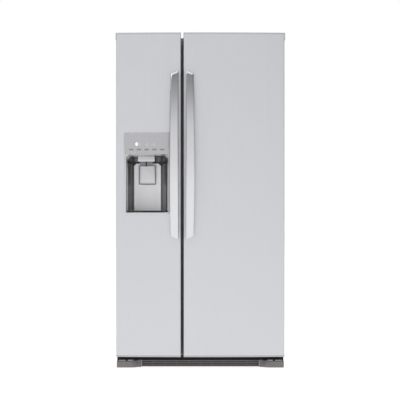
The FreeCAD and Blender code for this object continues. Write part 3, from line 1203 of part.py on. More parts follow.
def dispenser_paddle():
    plate_z = (PADDLE_Z[0], PADDLE_PIVOT_Z + PADDLE_THICK / 2 + 1)
    plate = box(PADDLE_X, centred(PADDLE_Y, PADDLE_THICK), plate_z)
    pins = rod(PIVOT_R, PADDLE_X[1] - PADDLE_X[0] + 14, (PADDLE_X[0] - 7, PADDLE_Y, PADDLE_PIVOT_Z), X_AXIS)
    return fuse([plate, pins])


def drip_tray():
    """A shallow tray with a slotted top."""
    middle_y = front_y(DISPENSER_MIDDLE)
    y = (middle_y + FRAME_BODY + TRAY_GAPS[0], RECESS_BACK_Y - TRAY_GAPS[1])

    def width_at(at):
        share = (at - middle_y) / RECESS_DEPTH
        return [m + (b - m) * share for m, b in zip(RECESS_MOUTH_X, RECESS_BACK_X)]

    near, far = (grown(width_at(at), -1.5) for at in y)
    z = RECESS_BACK_Z[0] + 0.5
    corners = [(near[0], y[0], z), (near[1], y[0], z), (far[1], y[1], z), (far[0], y[1], z)]
    plate = prism(corners, V(0, 0, TRAY_PLATE))
    count = int((far[1] - far[0] - TRAY_RIM) / (2 * TRAY_SLOT))
    starts = [far[0] + TRAY_SLOT * (1 + 2 * i) for i in range(count)]
    slot_y = grown(y, -TRAY_RIM)
    slots = [box((start, start + TRAY_SLOT), slot_y, (z + 2, z + TRAY_PLATE + 1)) for start in starts]
    return plate.cut(group(slots))


def frame_body(grow, back_inset, front_inset=-0.2):
    return arc_slab(grown(DISPENSER_X, grow - FRAME_INSET), grown(DISPENSER_Z, grow - FRAME_INSET),
                    front_inset, back_inset=back_inset)


def panel_space(front_inset, back_inset, grow=0.0):
    x = grown(DISPENSER_X, -FRAME_RIM + grow)
    z = (PANEL_BOTTOM - grow, DISPENSER_Z[1] - FRAME_RIM + grow)
    return arc_slab(x, z, front_inset, back_inset=back_inset)


def dispenser_frame():
    flange = arc_slab(DISPENSER_X, DISPENSER_Z, -FRAME_PROUD, back_inset=-0.2)
    frame = flange.fuse(frame_body(0, FRAME_BODY, -0.3)).removeSplitter()
    frame = frame.cut(recess_form(0, RECESS_START))
    return frame.cut(panel_space(-FRAME_PROUD - 5, FRAME_BODY + 5))


def key_place(i):
    middle = DISPENSER_MIDDLE + (i - (KEY_COUNT - 1) / 2) * KEY_PITCH
    return centred(middle, KEY_SIZE[0]), centred(KEY_Z, KEY_SIZE[1])


def control_panel():
    panel = panel_space(-FRAME_PROUD + 1, PANEL_THICK, -0.2)
    for i in range(KEY_COUNT):
        x, z = key_place(i)
        pocket = arc_slab(grown(x, KEY_CLEARANCE), grown(z, KEY_CLEARANCE), -FRAME_PROUD - 5,
                          back_inset=KEY_DEPTH - FRAME_PROUD + KEY_TRAVEL + 1.5)
        panel = panel.cut(pocket)
    return panel


def key(i):
    x, z = key_place(i)
    return arc_slab(x, z, -FRAME_PROUD + 0.6, back_inset=KEY_DEPTH - FRAME_PROUD)


def without_dispenser(shape):
    """Cut a door piece for the frame, the recess, its pocket and the ice chute."""
    spout = box(CHUTE_X, grown(CHUTE_Y, CHUTE_WALL), (CHUTE_BOTTOM, CHUTE_BOTTOM + 60))
    tools = [
        frame_body(0.2, FRAME_BODY + 0.4, -20.0),
        recess_form(RECESS_WALL, RECESS_START).fuse(paddle_pocket(RECESS_WALL)),
        chute_form(CHUTE_WALL, CHUTE_X).fuse(spout),
    ]
    for tool in tools:
        shape = shape.cut(tool)
    return shape


# ---- all nodes ----------------------------------------------------------
def build():
    save("cabinet_shell", cabinet_shell())
    save("foam_insulation", foam_insulation())
    save("freezer_liner", liner(FREEZER_X))
    save("fridge_liner", fridge_liner())
    save("mullion_cover", mullion_cover())
    save("back_panel", back_panel())
    save("base_frame", base_frame())
    save("levelling_leg_left", levelling_leg(-1))
    save("levelling_leg_right", levelling_leg(1))
    save("rear_rollers", rear_rollers())
    save("compressor", compressor())
    save("condenser", condenser())
    save("condenser_fan", condenser_fan())
    save("rear_cover", rear_cover())
    save("water_valve", water_valve())
    save("cord_gland", cord_gland())
    save("foot_covers", foot_covers())
    save("kick_grille", kick_grille())
    save("door_hinges", door_hinges())
    save("hinge_covers", hinge_covers())
    save("freezer_shelves", freezer_shelves())
    save("fridge_shelves", fridge_shelves())
    save("freezer_drawer", floor_drawer(FREEZER_X))
    save("crisper_lower", floor_drawer(FRIDGE_X))
    save("crisper_upper", crisper_upper())
    save("evaporator", evaporator())
    save("air_ducts", air_ducts())
    save("evaporator_fan", evaporator_fan())
    save("interior_lamps", interior_lamps())
    save("water_filter", water_filter())
    save("ice_maker", ice_maker())
    save("ice_bucket", ice_bucket())
    save("ice_auger", ice_auger())

    save("freezer_door_skin", without_dispenser(door_skin(FREEZER_DOOR_X)))
    save("freezer_door_foam", without_dispenser(door_foam(FREEZER_DOOR_X, FREEZER_X, True)))
    save("freezer_door_liner", without_dispenser(door_liner(FREEZER_DOOR_X, FREEZER_X, True)))
    save("freezer_door_caps", door_caps(FREEZER_DOOR_X, -1))
    save("freezer_gasket", gasket(FREEZER_DOOR_X, -1))
    save("freezer_handle", handle(FREEZER_HANDLE_X, -1))
    save("freezer_door_bins", freezer_door_bins())
    save("dispenser_frame", dispenser_frame())
    save("control_panel", control_panel())
    save("dispenser_recess", dispenser_recess())
    save("chute_housing", chute_housing())
    save("chute_flap", chute_flap())
    save("dispenser_paddle", dispenser_paddle())
    save("drip_tray", drip_tray())
    for i in range(KEY_COUNT):
        save("key_" + str(i + 1), key(i))

    save("fridge_door_skin", door_skin(FRIDGE_DOOR_X))
    save("fridge_door_foam", door_foam(FRIDGE_DOOR_X, FRIDGE_X, False))
    save("fridge_door_liner", door_liner(FRIDGE_DOOR_X, FRIDGE_X, False))
    save("fridge_door_caps", door_caps(FRIDGE_DOOR_X, 1))
    save("fridge_gasket", gasket(FRIDGE_DOOR_X, 1))
    save("fridge_handle", handle(FRIDGE_HANDLE_X, 1))
    save("fridge_door_bins", fridge_door_bins())
    save("dairy_lid", dairy_lid())


os.makedirs("parts", exist_ok=True)
build()
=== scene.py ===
import math

import bmesh
import bpy
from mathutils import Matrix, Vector
from mathutils.bvhtree import BVHTree


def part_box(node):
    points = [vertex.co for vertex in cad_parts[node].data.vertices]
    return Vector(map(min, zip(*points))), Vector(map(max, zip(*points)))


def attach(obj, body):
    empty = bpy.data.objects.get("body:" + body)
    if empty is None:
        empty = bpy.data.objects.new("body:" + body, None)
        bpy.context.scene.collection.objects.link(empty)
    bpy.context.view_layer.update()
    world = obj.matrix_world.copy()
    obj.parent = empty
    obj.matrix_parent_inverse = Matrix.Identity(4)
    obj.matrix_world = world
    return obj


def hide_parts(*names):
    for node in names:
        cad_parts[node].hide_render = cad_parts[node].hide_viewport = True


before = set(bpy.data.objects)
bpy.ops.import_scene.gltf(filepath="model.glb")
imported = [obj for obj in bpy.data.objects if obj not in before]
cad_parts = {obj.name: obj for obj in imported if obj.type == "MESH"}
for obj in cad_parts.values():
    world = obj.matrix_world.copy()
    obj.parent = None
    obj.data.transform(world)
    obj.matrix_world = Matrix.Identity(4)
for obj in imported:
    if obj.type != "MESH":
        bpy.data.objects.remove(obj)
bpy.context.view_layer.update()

MM = 0.001
SMOOTH_LIMIT = math.radians(35)
WELD = 0.002 * MM
CAD_WELD = 0.01 * MM
FAR_AHEAD = -2.0
PLANES = {
    "xz": lambda a, b, w: (a, w, b),
    "xy": lambda a, b, w: (a, b, w),
    "yz": lambda a, b, w: (w, a, b),
}


# ---- shapes --------------------------------------------------------------
def grow(span, by):
    return (span[0] - by, span[1] + by)


def spans(low, high):
    """The spans along X, Y and Z between two corners."""
    return tuple(zip(low, high))


def ring(plane, a, b, w, radius, steps=5):
    """A rounded rectangle over the spans a and b of a plane, at depth w."""
    radius = max(min(radius, (a[1] - a[0]) / 2 - WELD, (b[1] - b[0]) / 2 - WELD), WELD)
    corners = ((a[1] - radius, b[1] - radius), (a[0] + radius, b[1] - radius),
               (a[0] + radius, b[0] + radius), (a[1] - radius, b[0] + radius))
    points = []
    for quarter, (ca, cb) in enumerate(corners):
        for i in range(steps + 1):
            t = math.pi / 2 * (quarter + i / steps)
            points.append(PLANES[plane](ca + radius * math.cos(t), cb + radius * math.sin(t), w))
    return points


def front_ring(x, z, by, y, corner, steps=5):
    """A rounded rectangle that faces front at depth y, over the spans x and z grown by a distance."""
    return ring("xz", grow(x, by), grow(z, by), y, corner, steps)


def fillet(size, steps=3):
    """Steps of a quarter round: how far in from the side, and how far along from the end."""
    turns = [math.pi / 2 * i / steps for i in range(steps + 1)]
    return [(size * (1 - math.sin(t)), size * (1 - math.cos(t))) for t in turns]


def pillow(plane, a, b, w, corner, edge):
    """Rings of a block with rounded corners and rounded end edges."""
    start = [ring(plane, grow(a, -i), grow(b, -i), w[0] + d, corner - i) for i, d in fillet(edge)]
    end = [ring(plane, grow(a, -i), grow(b, -i), w[1] - d, corner - i) for i, d in reversed(fillet(edge))]
    return start + end


def tub_rings(x, y, z, wall, corner, round_off, lip):
    """Rings of an open container: up the outside, over a rolled lip, and down the inside."""
    rows = [ring("xy", grow(x, -i), grow(y, -i), z[0] + d, corner - i) for i, d in fillet(round_off)]
    rows.append(ring("xy", x, y, z[1] - 3 * lip, corner))
    roll = ((lip * 0.8, 2.4 * lip), (lip, 1.2 * lip), (lip * 0.6, 0.2 * lip), (0, 0),
            (-wall * 0.7, 0.2 * lip))
    rows += [ring("xy", grow(x, o), grow(y, o), z[1] - h, corner + o) for o, h in roll]
    rows.append(ring("xy", grow(x, -wall), grow(y, -wall), z[1] - 1.5 * lip, corner - wall))
    for i, d in reversed(fillet(round_off - wall / 2)):
        rows.append(ring("xy", grow(x, -wall - i), grow(y, -wall - i), z[0] + wall + d, corner - wall - i))
    return rows


def circle(axis, centre, along, radius, sides=32):
    """A circle about an axis through centre, at a place along that axis."""
    points = []
    for i in range(sides):
        t = 2 * math.pi * i / sides
        flat = (radius * math.cos(t), radius * math.sin(t))
        p = {"x": (along, flat[0], flat[1]), "y": (flat[0], along, flat[1]),
             "z": (flat[0], flat[1], along)}[axis]
        points.append(Vector(centre) + Vector(p))
    return points


class Shape:
    """Geometry gathered for one piece; each part of it has a material number."""

    def __init__(self):
        self.bm = bmesh.new()

    def box(self, low, high, edge, mat=0, steps=2):
        """A block with rounded edges."""
        made = bmesh.ops.create_cube(self.bm, size=1.0)["verts"]
        size = [high[i] - low[i] for i in range(3)]
        for v in made:
            v.co = Vector([low[i] + (v.co[i] + 0.5) * size[i] for i in range(3)])
        for f in {f for v in made for f in v.link_faces}:
            f.material_index = mat
        edges = list({e for v in made for e in v.link_edges})
        edge = min(edge, 0.45 * min(size))
        bmesh.ops.bevel(self.bm, geom=edges, offset=edge, segments=steps, profile=0.5, affect="EDGES")
        return self

    def rings(self, rows, close=False, caps=(True, True), mat=0, mats=None):
        """Skin rings of equal length; mats gives one material per band, and the last is the end cap's."""
        rows = [[self.bm.verts.new(p) for p in row] for row in rows]
        bands = list(zip(rows, rows[1:])) + ([(rows[-1], rows[0])] if close else [])
        mats = mats or [mat] * (len(bands) + 1)
        for (a, b), m in zip(bands, mats):
            for i in range(len(a)):
                j = (i + 1) % len(a)
                self.bm.faces.new((a[i], a[j], b[j], b[i])).material_index = m
        if not close and caps[0]:
            self.bm.faces.new(rows[0][::-1]).material_index = mats[0]
        if not close and caps[1]:
            self.bm.faces.new(rows[-1]).material_index = mats[-1]
        return self

    def prism(self, points, plane, w, edge, mat=0):
        """A polygon swept across a plane, with its edges rounded."""
        low = [self.bm.verts.new(PLANES[plane](a, b, w[0])) for a, b in points]
        high = [self.bm.verts.new(PLANES[plane](a, b, w[1])) for a, b in points]
        faces = [self.bm.faces.new(low[::-1]), self.bm.faces.new(high)]
        count = len(points)
        for i in range(count):
            j = (i + 1) % count
            faces.append(self.bm.faces.new((low[i], low[j], high[j], high[i])))
        for f in faces:
            f.material_index = mat
        rims = [e for f in faces[:2] for e in f.edges]
        bmesh.ops.bevel(self.bm, geom=rims, offset=edge, segments=3, profile=0.5, affect="EDGES",
                        clamp_overlap=True)
        return self

    def lathe(self, axis, centre, profile, mat=0, sides=32):
        """A turned form: profile gives place along the axis and radius."""
        return self.rings([circle(axis, centre, at, r, sides) for at, r in profile], mat=mat)

    def put(self, name, body, slot, materials, replaces=(), thick=0.0):
        """Makes the piece, smooth but for its sharp edges; thick gives an open skin a wall."""
        bmesh.ops.remove_doubles(self.bm, verts=self.bm.verts, dist=WELD)
        bmesh.ops.recalc_face_normals(self.bm, faces=self.bm.faces)
        for f in self.bm.faces:
            f.smooth = True
        for e in self.bm.edges:
            e.smooth = len(e.link_faces) != 2 or e.calc_face_angle(0.0) < SMOOTH_LIMIT
        mesh = bpy.data.meshes.new(name)
        self.bm.to_mesh(mesh)
        self.bm.free()
        obj = bpy.data.objects.new(name, mesh)
        bpy.context.scene.collection.objects.link(obj)
        for m in materials:
            mesh.materials.append(MATERIALS[m])
        if thick:
            wall = obj.modifiers.new("wall", "SOLIDIFY")
            wall.thickness = thick
            wall.offset = 1.0
        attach(obj, body)
        if replaces:
            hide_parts(*replaces)
        return obj


def solids(node):
    """The lowest and highest corner of each separate solid of a CAD node, from the lowest up."""
    bm = bmesh.new()
    bm.from_mesh(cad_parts[node].data)
    bmesh.ops.remove_doubles(bm, verts=bm.verts, dist=CAD_WELD)
    left, found = set(bm.verts), []
    while left:
        stack, island = [left.pop()], []
        while stack:
            v = stack.pop()
            island.append(v.co.copy())
            for e in v.link_edges:
                other = e.other_vert(v)
                if other in left:
                    left.remove(other)
                    stack.append(other)
        found.append(tuple(Vector([pick(p[i] for p in island) for i in range(3)]) for pick in (min, max)))
    bm.free()
    return sorted(found, key=lambda pair: (round(pair[0].z, 4), pair[0].x))


TREES = {}


def front_of(node, x, z):
    """The depth at which a line going in from the front at x and z meets a CAD node."""
    if node not in TREES:
        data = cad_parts[node].data
        faces = [tuple(p.vertices) for p in data.polygons]
        TREES[node] = BVHTree.FromPolygons([v.co.copy() for v in data.vertices], faces)
    return TREES[node].ray_cast(Vector((x, FAR_AHEAD, z)), Vector((0, 1, 0)))[0].y


# ---- materials -----------------------------------------------------------
BROAD_SCALE = 7.0
FINE_SHARE = 0.45
STREAK_SCALE = 0.12
FLAKE_SCALE = 90.0
TONE_LOW = 0.3
TONE_HIGH = 0.7
RELIEF_STRENGTH = 0.6
COAT_ROUGH = 0.08
LEAST_ROUGH = 0.02
VERTICAL = (1, 1, 0.006)
ACROSS = (0.006, 1, 1)
ALONG_Y = (1, 0.02, 1)
MATERIALS = {}


def linear(*levels):
    """Display levels of 0 to 255 as linear colour."""
    return tuple(((v / 255 + 0.055) / 1.055) ** 2.4 if v > 10 else v / 255 / 12.92 for v in levels) + (1.0,)


def add(tree, kind, inputs=None, **settings):
    """A new node with its settings; an input is a value or another node's output."""
    made = tree.nodes.new(kind)
    for key, value in settings.items():
        setattr(made, key, value)
    for key, value in (inputs or {}).items():
        if isinstance(value, bpy.types.NodeSocket):
            tree.links.new(value, made.inputs[key])
        else:
            made.inputs[key].default_value = value
    return made


def mixed(tree, factor, a, b):
    """A blend of two values."""
    return add(tree, "ShaderNodeMix", {"Factor": factor, "A": a, "B": b}, data_type="FLOAT").outputs["Result"]


def noise(tree, place, scale, detail=3.0, rough=0.5):
    inputs = {"Vector": place, "Scale": scale, "Detail": detail, "Roughness": rough}
    return add(tree, "ShaderNodeTexNoise", inputs).outputs["Fac"]


def surface(name, colour, rough, metal=0.0, grain=700, stretch=(1, 1, 1), relief=0.02, spread=0.04,
            rough_spread=0.06, streak=0.0, spangle=0.0, coat=0.0, clear=0.0, ior=1.46, glow=0.0, opacity=1.0):
    """A procedural finish: broad tone changes, and a fine grain in colour, gloss and relief.

    grain is in features per metre, stretch draws the grain out along an axis, and relief is in millimetres.
    """
    mat = bpy.data.materials.new(name)
    mat.use_nodes = True
    tree = mat.node_tree
    shader = tree.nodes["Principled BSDF"]
    place = add(tree, "ShaderNodeTexCoord").outputs["Object"]
    drawn = add(tree, "ShaderNodeMapping", {"Vector": place, "Scale": stretch}).outputs["Vector"]
    fine = noise(tree, drawn, grain, detail=4.0, rough=0.6)
    tone = mixed(tree, FINE_SHARE, noise(tree, place, BROAD_SCALE), fine)
    if streak:
        tone = mixed(tree, streak, tone, noise(tree, drawn, grain * STREAK_SCALE))
    if spangle:
        flakes = add(tree, "ShaderNodeTexVoronoi", {"Vector": place, "Scale": FLAKE_SCALE}).outputs["Color"]
        flake = add(tree, "ShaderNodeSeparateColor", {"Color": flakes}).outputs["Red"]
        tone = mixed(tree, spangle, tone, flake)
    ramp = add(tree, "ShaderNodeValToRGB", {"Fac": tone})
    stops = zip(ramp.color_ramp.elements, (TONE_LOW, TONE_HIGH), (1 - spread, 1 + spread))
    for stop, at, change in stops:
        stop.position = at
        stop.color = [min(1.0, c * change) for c in colour[:3]] + [1.0]
    gloss = add(tree, "ShaderNodeMapRange", {
        "Value": tone, "From Min": TONE_LOW, "From Max": TONE_HIGH,
        "To Min": max(LEAST_ROUGH, rough - rough_spread), "To Max": rough + rough_spread}).outputs["Result"]
    bump = add(tree, "ShaderNodeBump", {"Height": fine, "Strength": RELIEF_STRENGTH, "Distance": relief * MM})
    tree.links.new(ramp.outputs["Color"], shader.inputs["Base Color"])
    tree.links.new(gloss, shader.inputs["Roughness"])
    tree.links.new(bump.outputs["Normal"], shader.inputs["Normal"])
    levels = {"Metallic": metal, "Coat Weight": coat, "Coat Roughness": COAT_ROUGH,
              "Transmission Weight": clear, "IOR": ior, "Alpha": opacity}
    if glow:
        levels.update({"Emission Color": colour, "Emission Strength": glow})
    for key, value in levels.items():
        shader.inputs[key].default_value = value
    MATERIALS[name] = mat


surface("stainless", linear(213, 215, 218), 0.34, metal=0.9, grain=2600, stretch=VERTICAL, relief=0.003,
        spread=0.03, streak=0.4, coat=0.1)
surface("handle_steel", linear(214, 214, 216), 0.2, metal=1.0, grain=4200, stretch=VERTICAL, relief=0.0012,
        spread=0.015, rough_spread=0.02, streak=0.3)
surface("cabinet_paint", linear(128, 125, 124), 0.42, metal=0.15, grain=900, relief=0.03, coat=0.15)
surface("galvanised_steel", linear(168, 171, 174), 0.4, metal=0.9, grain=500, spangle=0.5, spread=0.05,
        rough_spread=0.08)
surface("chassis_black", linear(30, 30, 31), 0.55, metal=0.1, grain=700, relief=0.03, spread=0.12)
surface("insulation", linear(232, 206, 132), 0.9, grain=400, relief=0.3, spread=0.12)
surface("liner_plastic", linear(240, 241, 240), 0.36, grain=260, relief=0.003, spread=0.02, coat=0.15)
surface("door_liner_plastic", linear(238, 240, 240), 0.36, grain=260, relief=0.003, spread=0.02, coat=0.15)
surface("gasket_rubber", linear(58, 58, 60), 0.55, grain=1500, relief=0.03)
surface("cap_plastic", linear(188, 189, 191), 0.4, metal=0.35, grain=1300, relief=0.02)
surface("plinth_plastic", linear(124, 118, 119), 0.45, grain=1400, relief=0.03, spread=0.05)
surface("dispenser_silver", linear(196, 197, 200), 0.24, metal=0.8, grain=1800, relief=0.004, coat=0.3)
surface("panel_silver", linear(184, 183, 186), 0.22, metal=0.75, grain=2200, stretch=ACROSS, relief=0.002,
        spread=0.03, coat=0.6)
surface("recess_plastic", linear(238, 238, 240), 0.3, metal=0.25, grain=2400, relief=0.003, spread=0.015,
        coat=0.4)
# painted shade: a dark colour on the recess's side walls for the shade and dark reflections they show
surface("recess_side_shade", linear(66, 66, 64), 0.22, metal=0.6, grain=900, relief=0.01, coat=0.5)
surface("chute_plastic", linear(120, 120, 122), 0.3, grain=900, relief=0.02, coat=0.3)
surface("paddle_plastic", linear(238, 237, 240), 0.3, metal=0.2, grain=1200, relief=0.02)
surface("tray_plastic", linear(96, 96, 98), 0.42, grain=1200, relief=0.03)
surface("key_plastic", linear(186, 186, 190), 0.25, metal=0.6, grain=1800, relief=0.001, coat=0.4)
surface("shelf_glass", linear(206, 232, 226), 0.04, grain=200, relief=0.002, spread=0.01, rough_spread=0.01,
        opacity=0.3, ior=1.5)
surface("clear_plastic", linear(226, 236, 242), 0.12, grain=300, relief=0.02, spread=0.01, rough_spread=0.04,
        opacity=0.34)
surface("white_plastic", linear(238, 239, 240), 0.34, grain=1100, relief=0.02, spread=0.02)
surface("black_plastic", linear(34, 34, 36), 0.42, grain=1200, relief=0.03, spread=0.12)
surface("black_rubber", linear(28, 28, 29), 0.7, grain=1500, relief=0.05, spread=0.15)
surface("compressor_paint", linear(26, 26, 28), 0.33, grain=350, relief=0.06, spread=0.15, coat=0.3)
surface("fin_metal", linear(196, 199, 202), 0.34, metal=0.95, grain=900, relief=0.02)
surface("lamp_lens", linear(250, 248, 240), 0.3, grain=700, relief=0.05, clear=0.4, glow=0.6)
surface("ice_maker_plastic", linear(226, 229, 232), 0.36, grain=1100, relief=0.02)
surface("auger_steel", linear(188, 190, 193), 0.26, metal=1.0, grain=1600, stretch=ALONG_Y, relief=0.01)
surface("ink", linear(46, 46, 50), 0.5, grain=1500, relief=0.005)
surface("pale_ink", linear(228, 230, 234), 0.5, grain=1500, relief=0.005)
surface("lit_mark", linear(250, 252, 255), 0.4, grain=1500, relief=0.005, glow=1.6)
# painted shade: near black, standing in for the shade seen in narrow gaps, behind grilles and under bars
surface("gap_shade", linear(30, 30, 31), 0.6, grain=1200, relief=0.03)


# ---- CAD nodes that stay: finish, and softened edges in millimetres ---------
SOFTEN_LIMIT = math.radians(50)
KEPT = {
    "cabinet_shell": ("cabinet_paint", 0.5), "foam_insulation": ("insulation", 0),
    "mullion_cover": ("cabinet_paint", 0.6), "base_frame": ("chassis_black", 0.4),
    "levelling_leg_left": ("black_plastic", 0.6), "levelling_leg_right": ("black_plastic", 0.6),
    "rear_rollers": ("black_plastic", 1.0), "compressor": ("compressor_paint", 0),
    "condenser": ("fin_metal", 0), "condenser_fan": ("black_plastic", 0.3),
    "rear_cover": ("galvanised_steel", 0.5), "water_valve": ("white_plastic", 0.6),
    "cord_gland": ("black_rubber", 0.4), "foot_covers": ("plinth_plastic", 0.9),
    "door_hinges": ("chassis_black", 0.4), "hinge_covers": ("plinth_plastic", 0.8),
    "evaporator": ("fin_metal", 0), "air_ducts": ("white_plastic", 1.0),
    "evaporator_fan": ("black_plastic", 0.3), "ice_maker": ("ice_maker_plastic", 1.2),
    "ice_bucket": ("clear_plastic", 0.8), "ice_auger": ("auger_steel", 0.4),
    "freezer_door_skin": ("stainless", 0), "freezer_door_foam": ("insulation", 0),
    "freezer_door_caps": ("cap_plastic", 0.7), "dispenser_frame": ("dispenser_silver", 0.8),
    "chute_housing": ("chute_plastic", 0.6), "chute_flap": ("black_rubber", 0.4),
    "fridge_door_skin": ("stainless", 0), "fridge_door_foam": ("insulation", 0),
    "fridge_door_caps": ("cap_plastic", 0.7),
}
for node, (material, edge) in KEPT.items():
    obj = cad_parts[node]
    for material_slot in obj.material_slots:
        material_slot.material = MATERIALS[material]
    if edge:
        weld = obj.modifiers.new("weld", "WELD")
        weld.merge_threshold = CAD_WELD
        soften = obj.modifiers.new("soften", "BEVEL")
        soften.width = edge * MM
        soften.segments = 2
        soften.limit_method = "ANGLE"
        soften.angle_limit = SOFTEN_LIMIT
        soften.harden_normals = True


# ---- handles -------------------------------------------------------------
HANDLE_THICK = 18 * MM
HANDLE_BOW = 26 * MM
HANDLE_SLANT = 15 * MM
HANDLE_TAPER = 6 * MM
HANDLE_CORNER = 6.5 * MM
BAR_STATIONS = 48
BAR_END = ((3.0, 0.0), (1.6, 0.35), (0.6, 1.1), (0.15, 2.0))
POST = 30 * MM
POST_IN = 48 * MM
POST_CORNER = 5 * MM
POST_SUNK = 4 * MM
POST_STRAIGHT = 6 * MM
POST_FLARE = ((0.4, 7), (2, 2.5), (3, 0))
SKIN_OVERLAP = 0.3 * MM


def handle(node, body, skin, far_side):
    """A bowed bar with slanting ends on two posts; far_side is the side away from the doors' gap.

    BAR_END rounds the bar's ends: how far in from its sides, and how far along from its end.
    POST_FLARE widens a post's foot: how much wider, and how far off the skin. Both are in millimetres.
    """
    low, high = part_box(node)
    gap_x, far_x = (high.x, low.x) if far_side < 0 else (low.x, high.x)
    middle, half = (low.z + high.z) / 2, (high.z - low.z) / 2
    places = [(-1 + along * MM / half, inset * MM) for inset, along in BAR_END]
    places += [(-1 + 2 * i / BAR_STATIONS, 0.0) for i in range(1, BAR_STATIONS)]
    places += [(1 - along * MM / half, inset * MM) for inset, along in reversed(BAR_END)]
    rows = []
    for t, inset in places:
        far = far_x - far_side * HANDLE_TAPER * t * t
        front = low.y + HANDLE_BOW * t * t
        bar_x = grow(sorted((gap_x, far)), -inset)
        bar_y = grow((front, front + HANDLE_THICK), -inset)
        row = ring("xy", bar_x, bar_y, 0.0, HANDLE_CORNER - inset)
        rows.append([(x, y, middle + t * (half - HANDLE_SLANT * (x - gap_x) / (far - gap_x)))
                     for x, y, _ in row])
    shape = Shape().rings(rows)
    centre = (low.x + high.x) / 2
    post_x = (centre - POST / 2, centre + POST / 2)
    back = low.y + HANDLE_BOW * (1 - POST_IN / half) ** 2 + HANDLE_THICK
    for end in (-1, 1):
        at = middle + end * (half - POST_IN)
        post_z = (at - POST / 2, at + POST / 2)
        reach = max(front_of(skin, x, at) for x in post_x) + SKIN_OVERLAP
        stages = [(0, back - POST_SUNK), (0, back + POST_STRAIGHT)]
        stages += [(wider * MM, reach - off * MM) for wider, off in POST_FLARE]
        shape.rings([front_ring(post_x, post_z, wider, y, POST_CORNER + wider) for wider, y in stages])
    shape.put(node + "_bar", body, "handle_steel", ["handle_steel"], [node])


handle("freezer_handle", "freezer_door", "freezer_door_skin", -1)
handle("fridge_handle", "fridge_door", "fridge_door_skin", 1)


# ---- rooms and their liners ------------------------------------------------
WALL = 1.5 * MM
LIP = 1.2 * MM
LIP_CORNER = 3 * MM
MOUTH_ROUND = 5 * MM
ROOM_CORNER = 11 * MM
ROOM_TURN = 12 * MM
STEP_ROUND = ((5, 0), (1.5, 1.5), (0, 5))
DRAWER_UNDER = 1 * MM
DRAWER_BEHIND = 8 * MM
LEDGE_OUT = 7 * MM
LEDGE_HIGH = 15 * MM
LEDGE_FRONT_IN = 18 * MM
LEDGE_BACK_IN = 12 * MM
floor_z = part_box("freezer_drawer")[0].z - DRAWER_UNDER
ceiling_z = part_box("interior_lamps")[1].z
rear_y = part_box("air_ducts")[1].y
step_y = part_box("freezer_drawer")[1].y + DRAWER_BEHIND
step_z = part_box("crisper_upper")[0].z - DRAWER_UNDER
rooms = {side: spans(*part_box(side + "_shelves"))[0] for side in ("freezer", "fridge")}
shelf_sets = {side: solids(side + "_shelves") for side in rooms}


def liner(side):
    """A moulded room with rounded corners and a step over the machine space."""
    x, z = rooms[side], (floor_z, ceiling_z)
    low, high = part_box(side + "_liner")
    lip_x, _, lip_z = spans(low, high)
    rows = [front_ring(lip_x, lip_z, 0, low.y + LIP, LIP_CORNER),
            front_ring(lip_x, lip_z, -LIP / 2, low.y, LIP_CORNER)]
    for inset, along in fillet(MOUTH_ROUND, 4):
        rows.append(front_ring(x, z, inset, low.y + along, ROOM_CORNER))
    for inset, along in fillet(ROOM_TURN):
        rows.append(ring("xz", x, (z[0] + along, z[1]), step_y - inset, ROOM_CORNER))
    for under, back in STEP_ROUND:
        rows.append(ring("xz", x, (step_z - under * MM, z[1]), step_y + back * MM, ROOM_CORNER))
    for inset, along in reversed(fillet(ROOM_TURN)):
        rows.append(front_ring(x, (step_z, z[1]), -inset, rear_y - along, ROOM_CORNER))
    return Shape().rings(rows, caps=(False, True))


def ledges(side, heights):
    """Moulded ledges under the shelves on both side walls."""
    x = rooms[side]
    y = (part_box(side + "_shelves")[0].y + LEDGE_FRONT_IN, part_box("air_ducts")[0].y - LEDGE_BACK_IN)
    shape = Shape()
    for z in heights:
        for wall, out in ((x[0], LEDGE_OUT), (x[1], -LEDGE_OUT)):
            left, right = sorted((wall, wall + out))
            shape.box((left, y[0], z - LEDGE_HIGH), (right, y[1], z - 0.5 * MM), 2.5 * MM)
    return shape


# ---- shelves and drawers ---------------------------------------------------
PANE_DOWN = 2 * MM
PANE_THICK = 5 * MM
PANE_IN = 5 * MM
SHELF_SIDE_GAP = 0.8 * MM
SHELF_TRIM = 13 * MM
SHELF_RAIL = 8 * MM
DRAWER_FRONT = 20 * MM
DRAWER_WALL = 2.5 * MM
GRIP_IN = 60 * MM
GRIP = ((15, 20), (6, 22), (1, 27), (0, 38), (3.5, 38), (5, 29), (9, 26), (15, 25))


def shelf(shape, low, high):
    """A glass pane in a slim moulded frame with a rounded front trim."""
    top = high.z - PANE_DOWN
    bottom = top - PANE_THICK
    x = grow((low.x, high.x), -SHELF_SIDE_GAP)
    shape.box((low.x + PANE_IN, low.y + 7 * MM, bottom + 0.6 * MM),
              (high.x - PANE_IN, high.y - PANE_IN, top - 0.4 * MM), 0.5 * MM)
    shape.rings(pillow("yz", (low.y, low.y + SHELF_TRIM), (low.z, high.z), x, 4 * MM, 1 * MM), mat=1)
    shape.box((x[0], high.y - 10 * MM, bottom - 3 * MM), (x[1], high.y, top + 1 * MM), 1.5 * MM, mat=1)
    for left in (x[0], x[1] - SHELF_RAIL):
        shape.box((left, low.y + 10 * MM, bottom - 1 * MM),
                  (left + SHELF_RAIL, high.y - 6 * MM, top + 0.8 * MM), 1.2 * MM, mat=1)


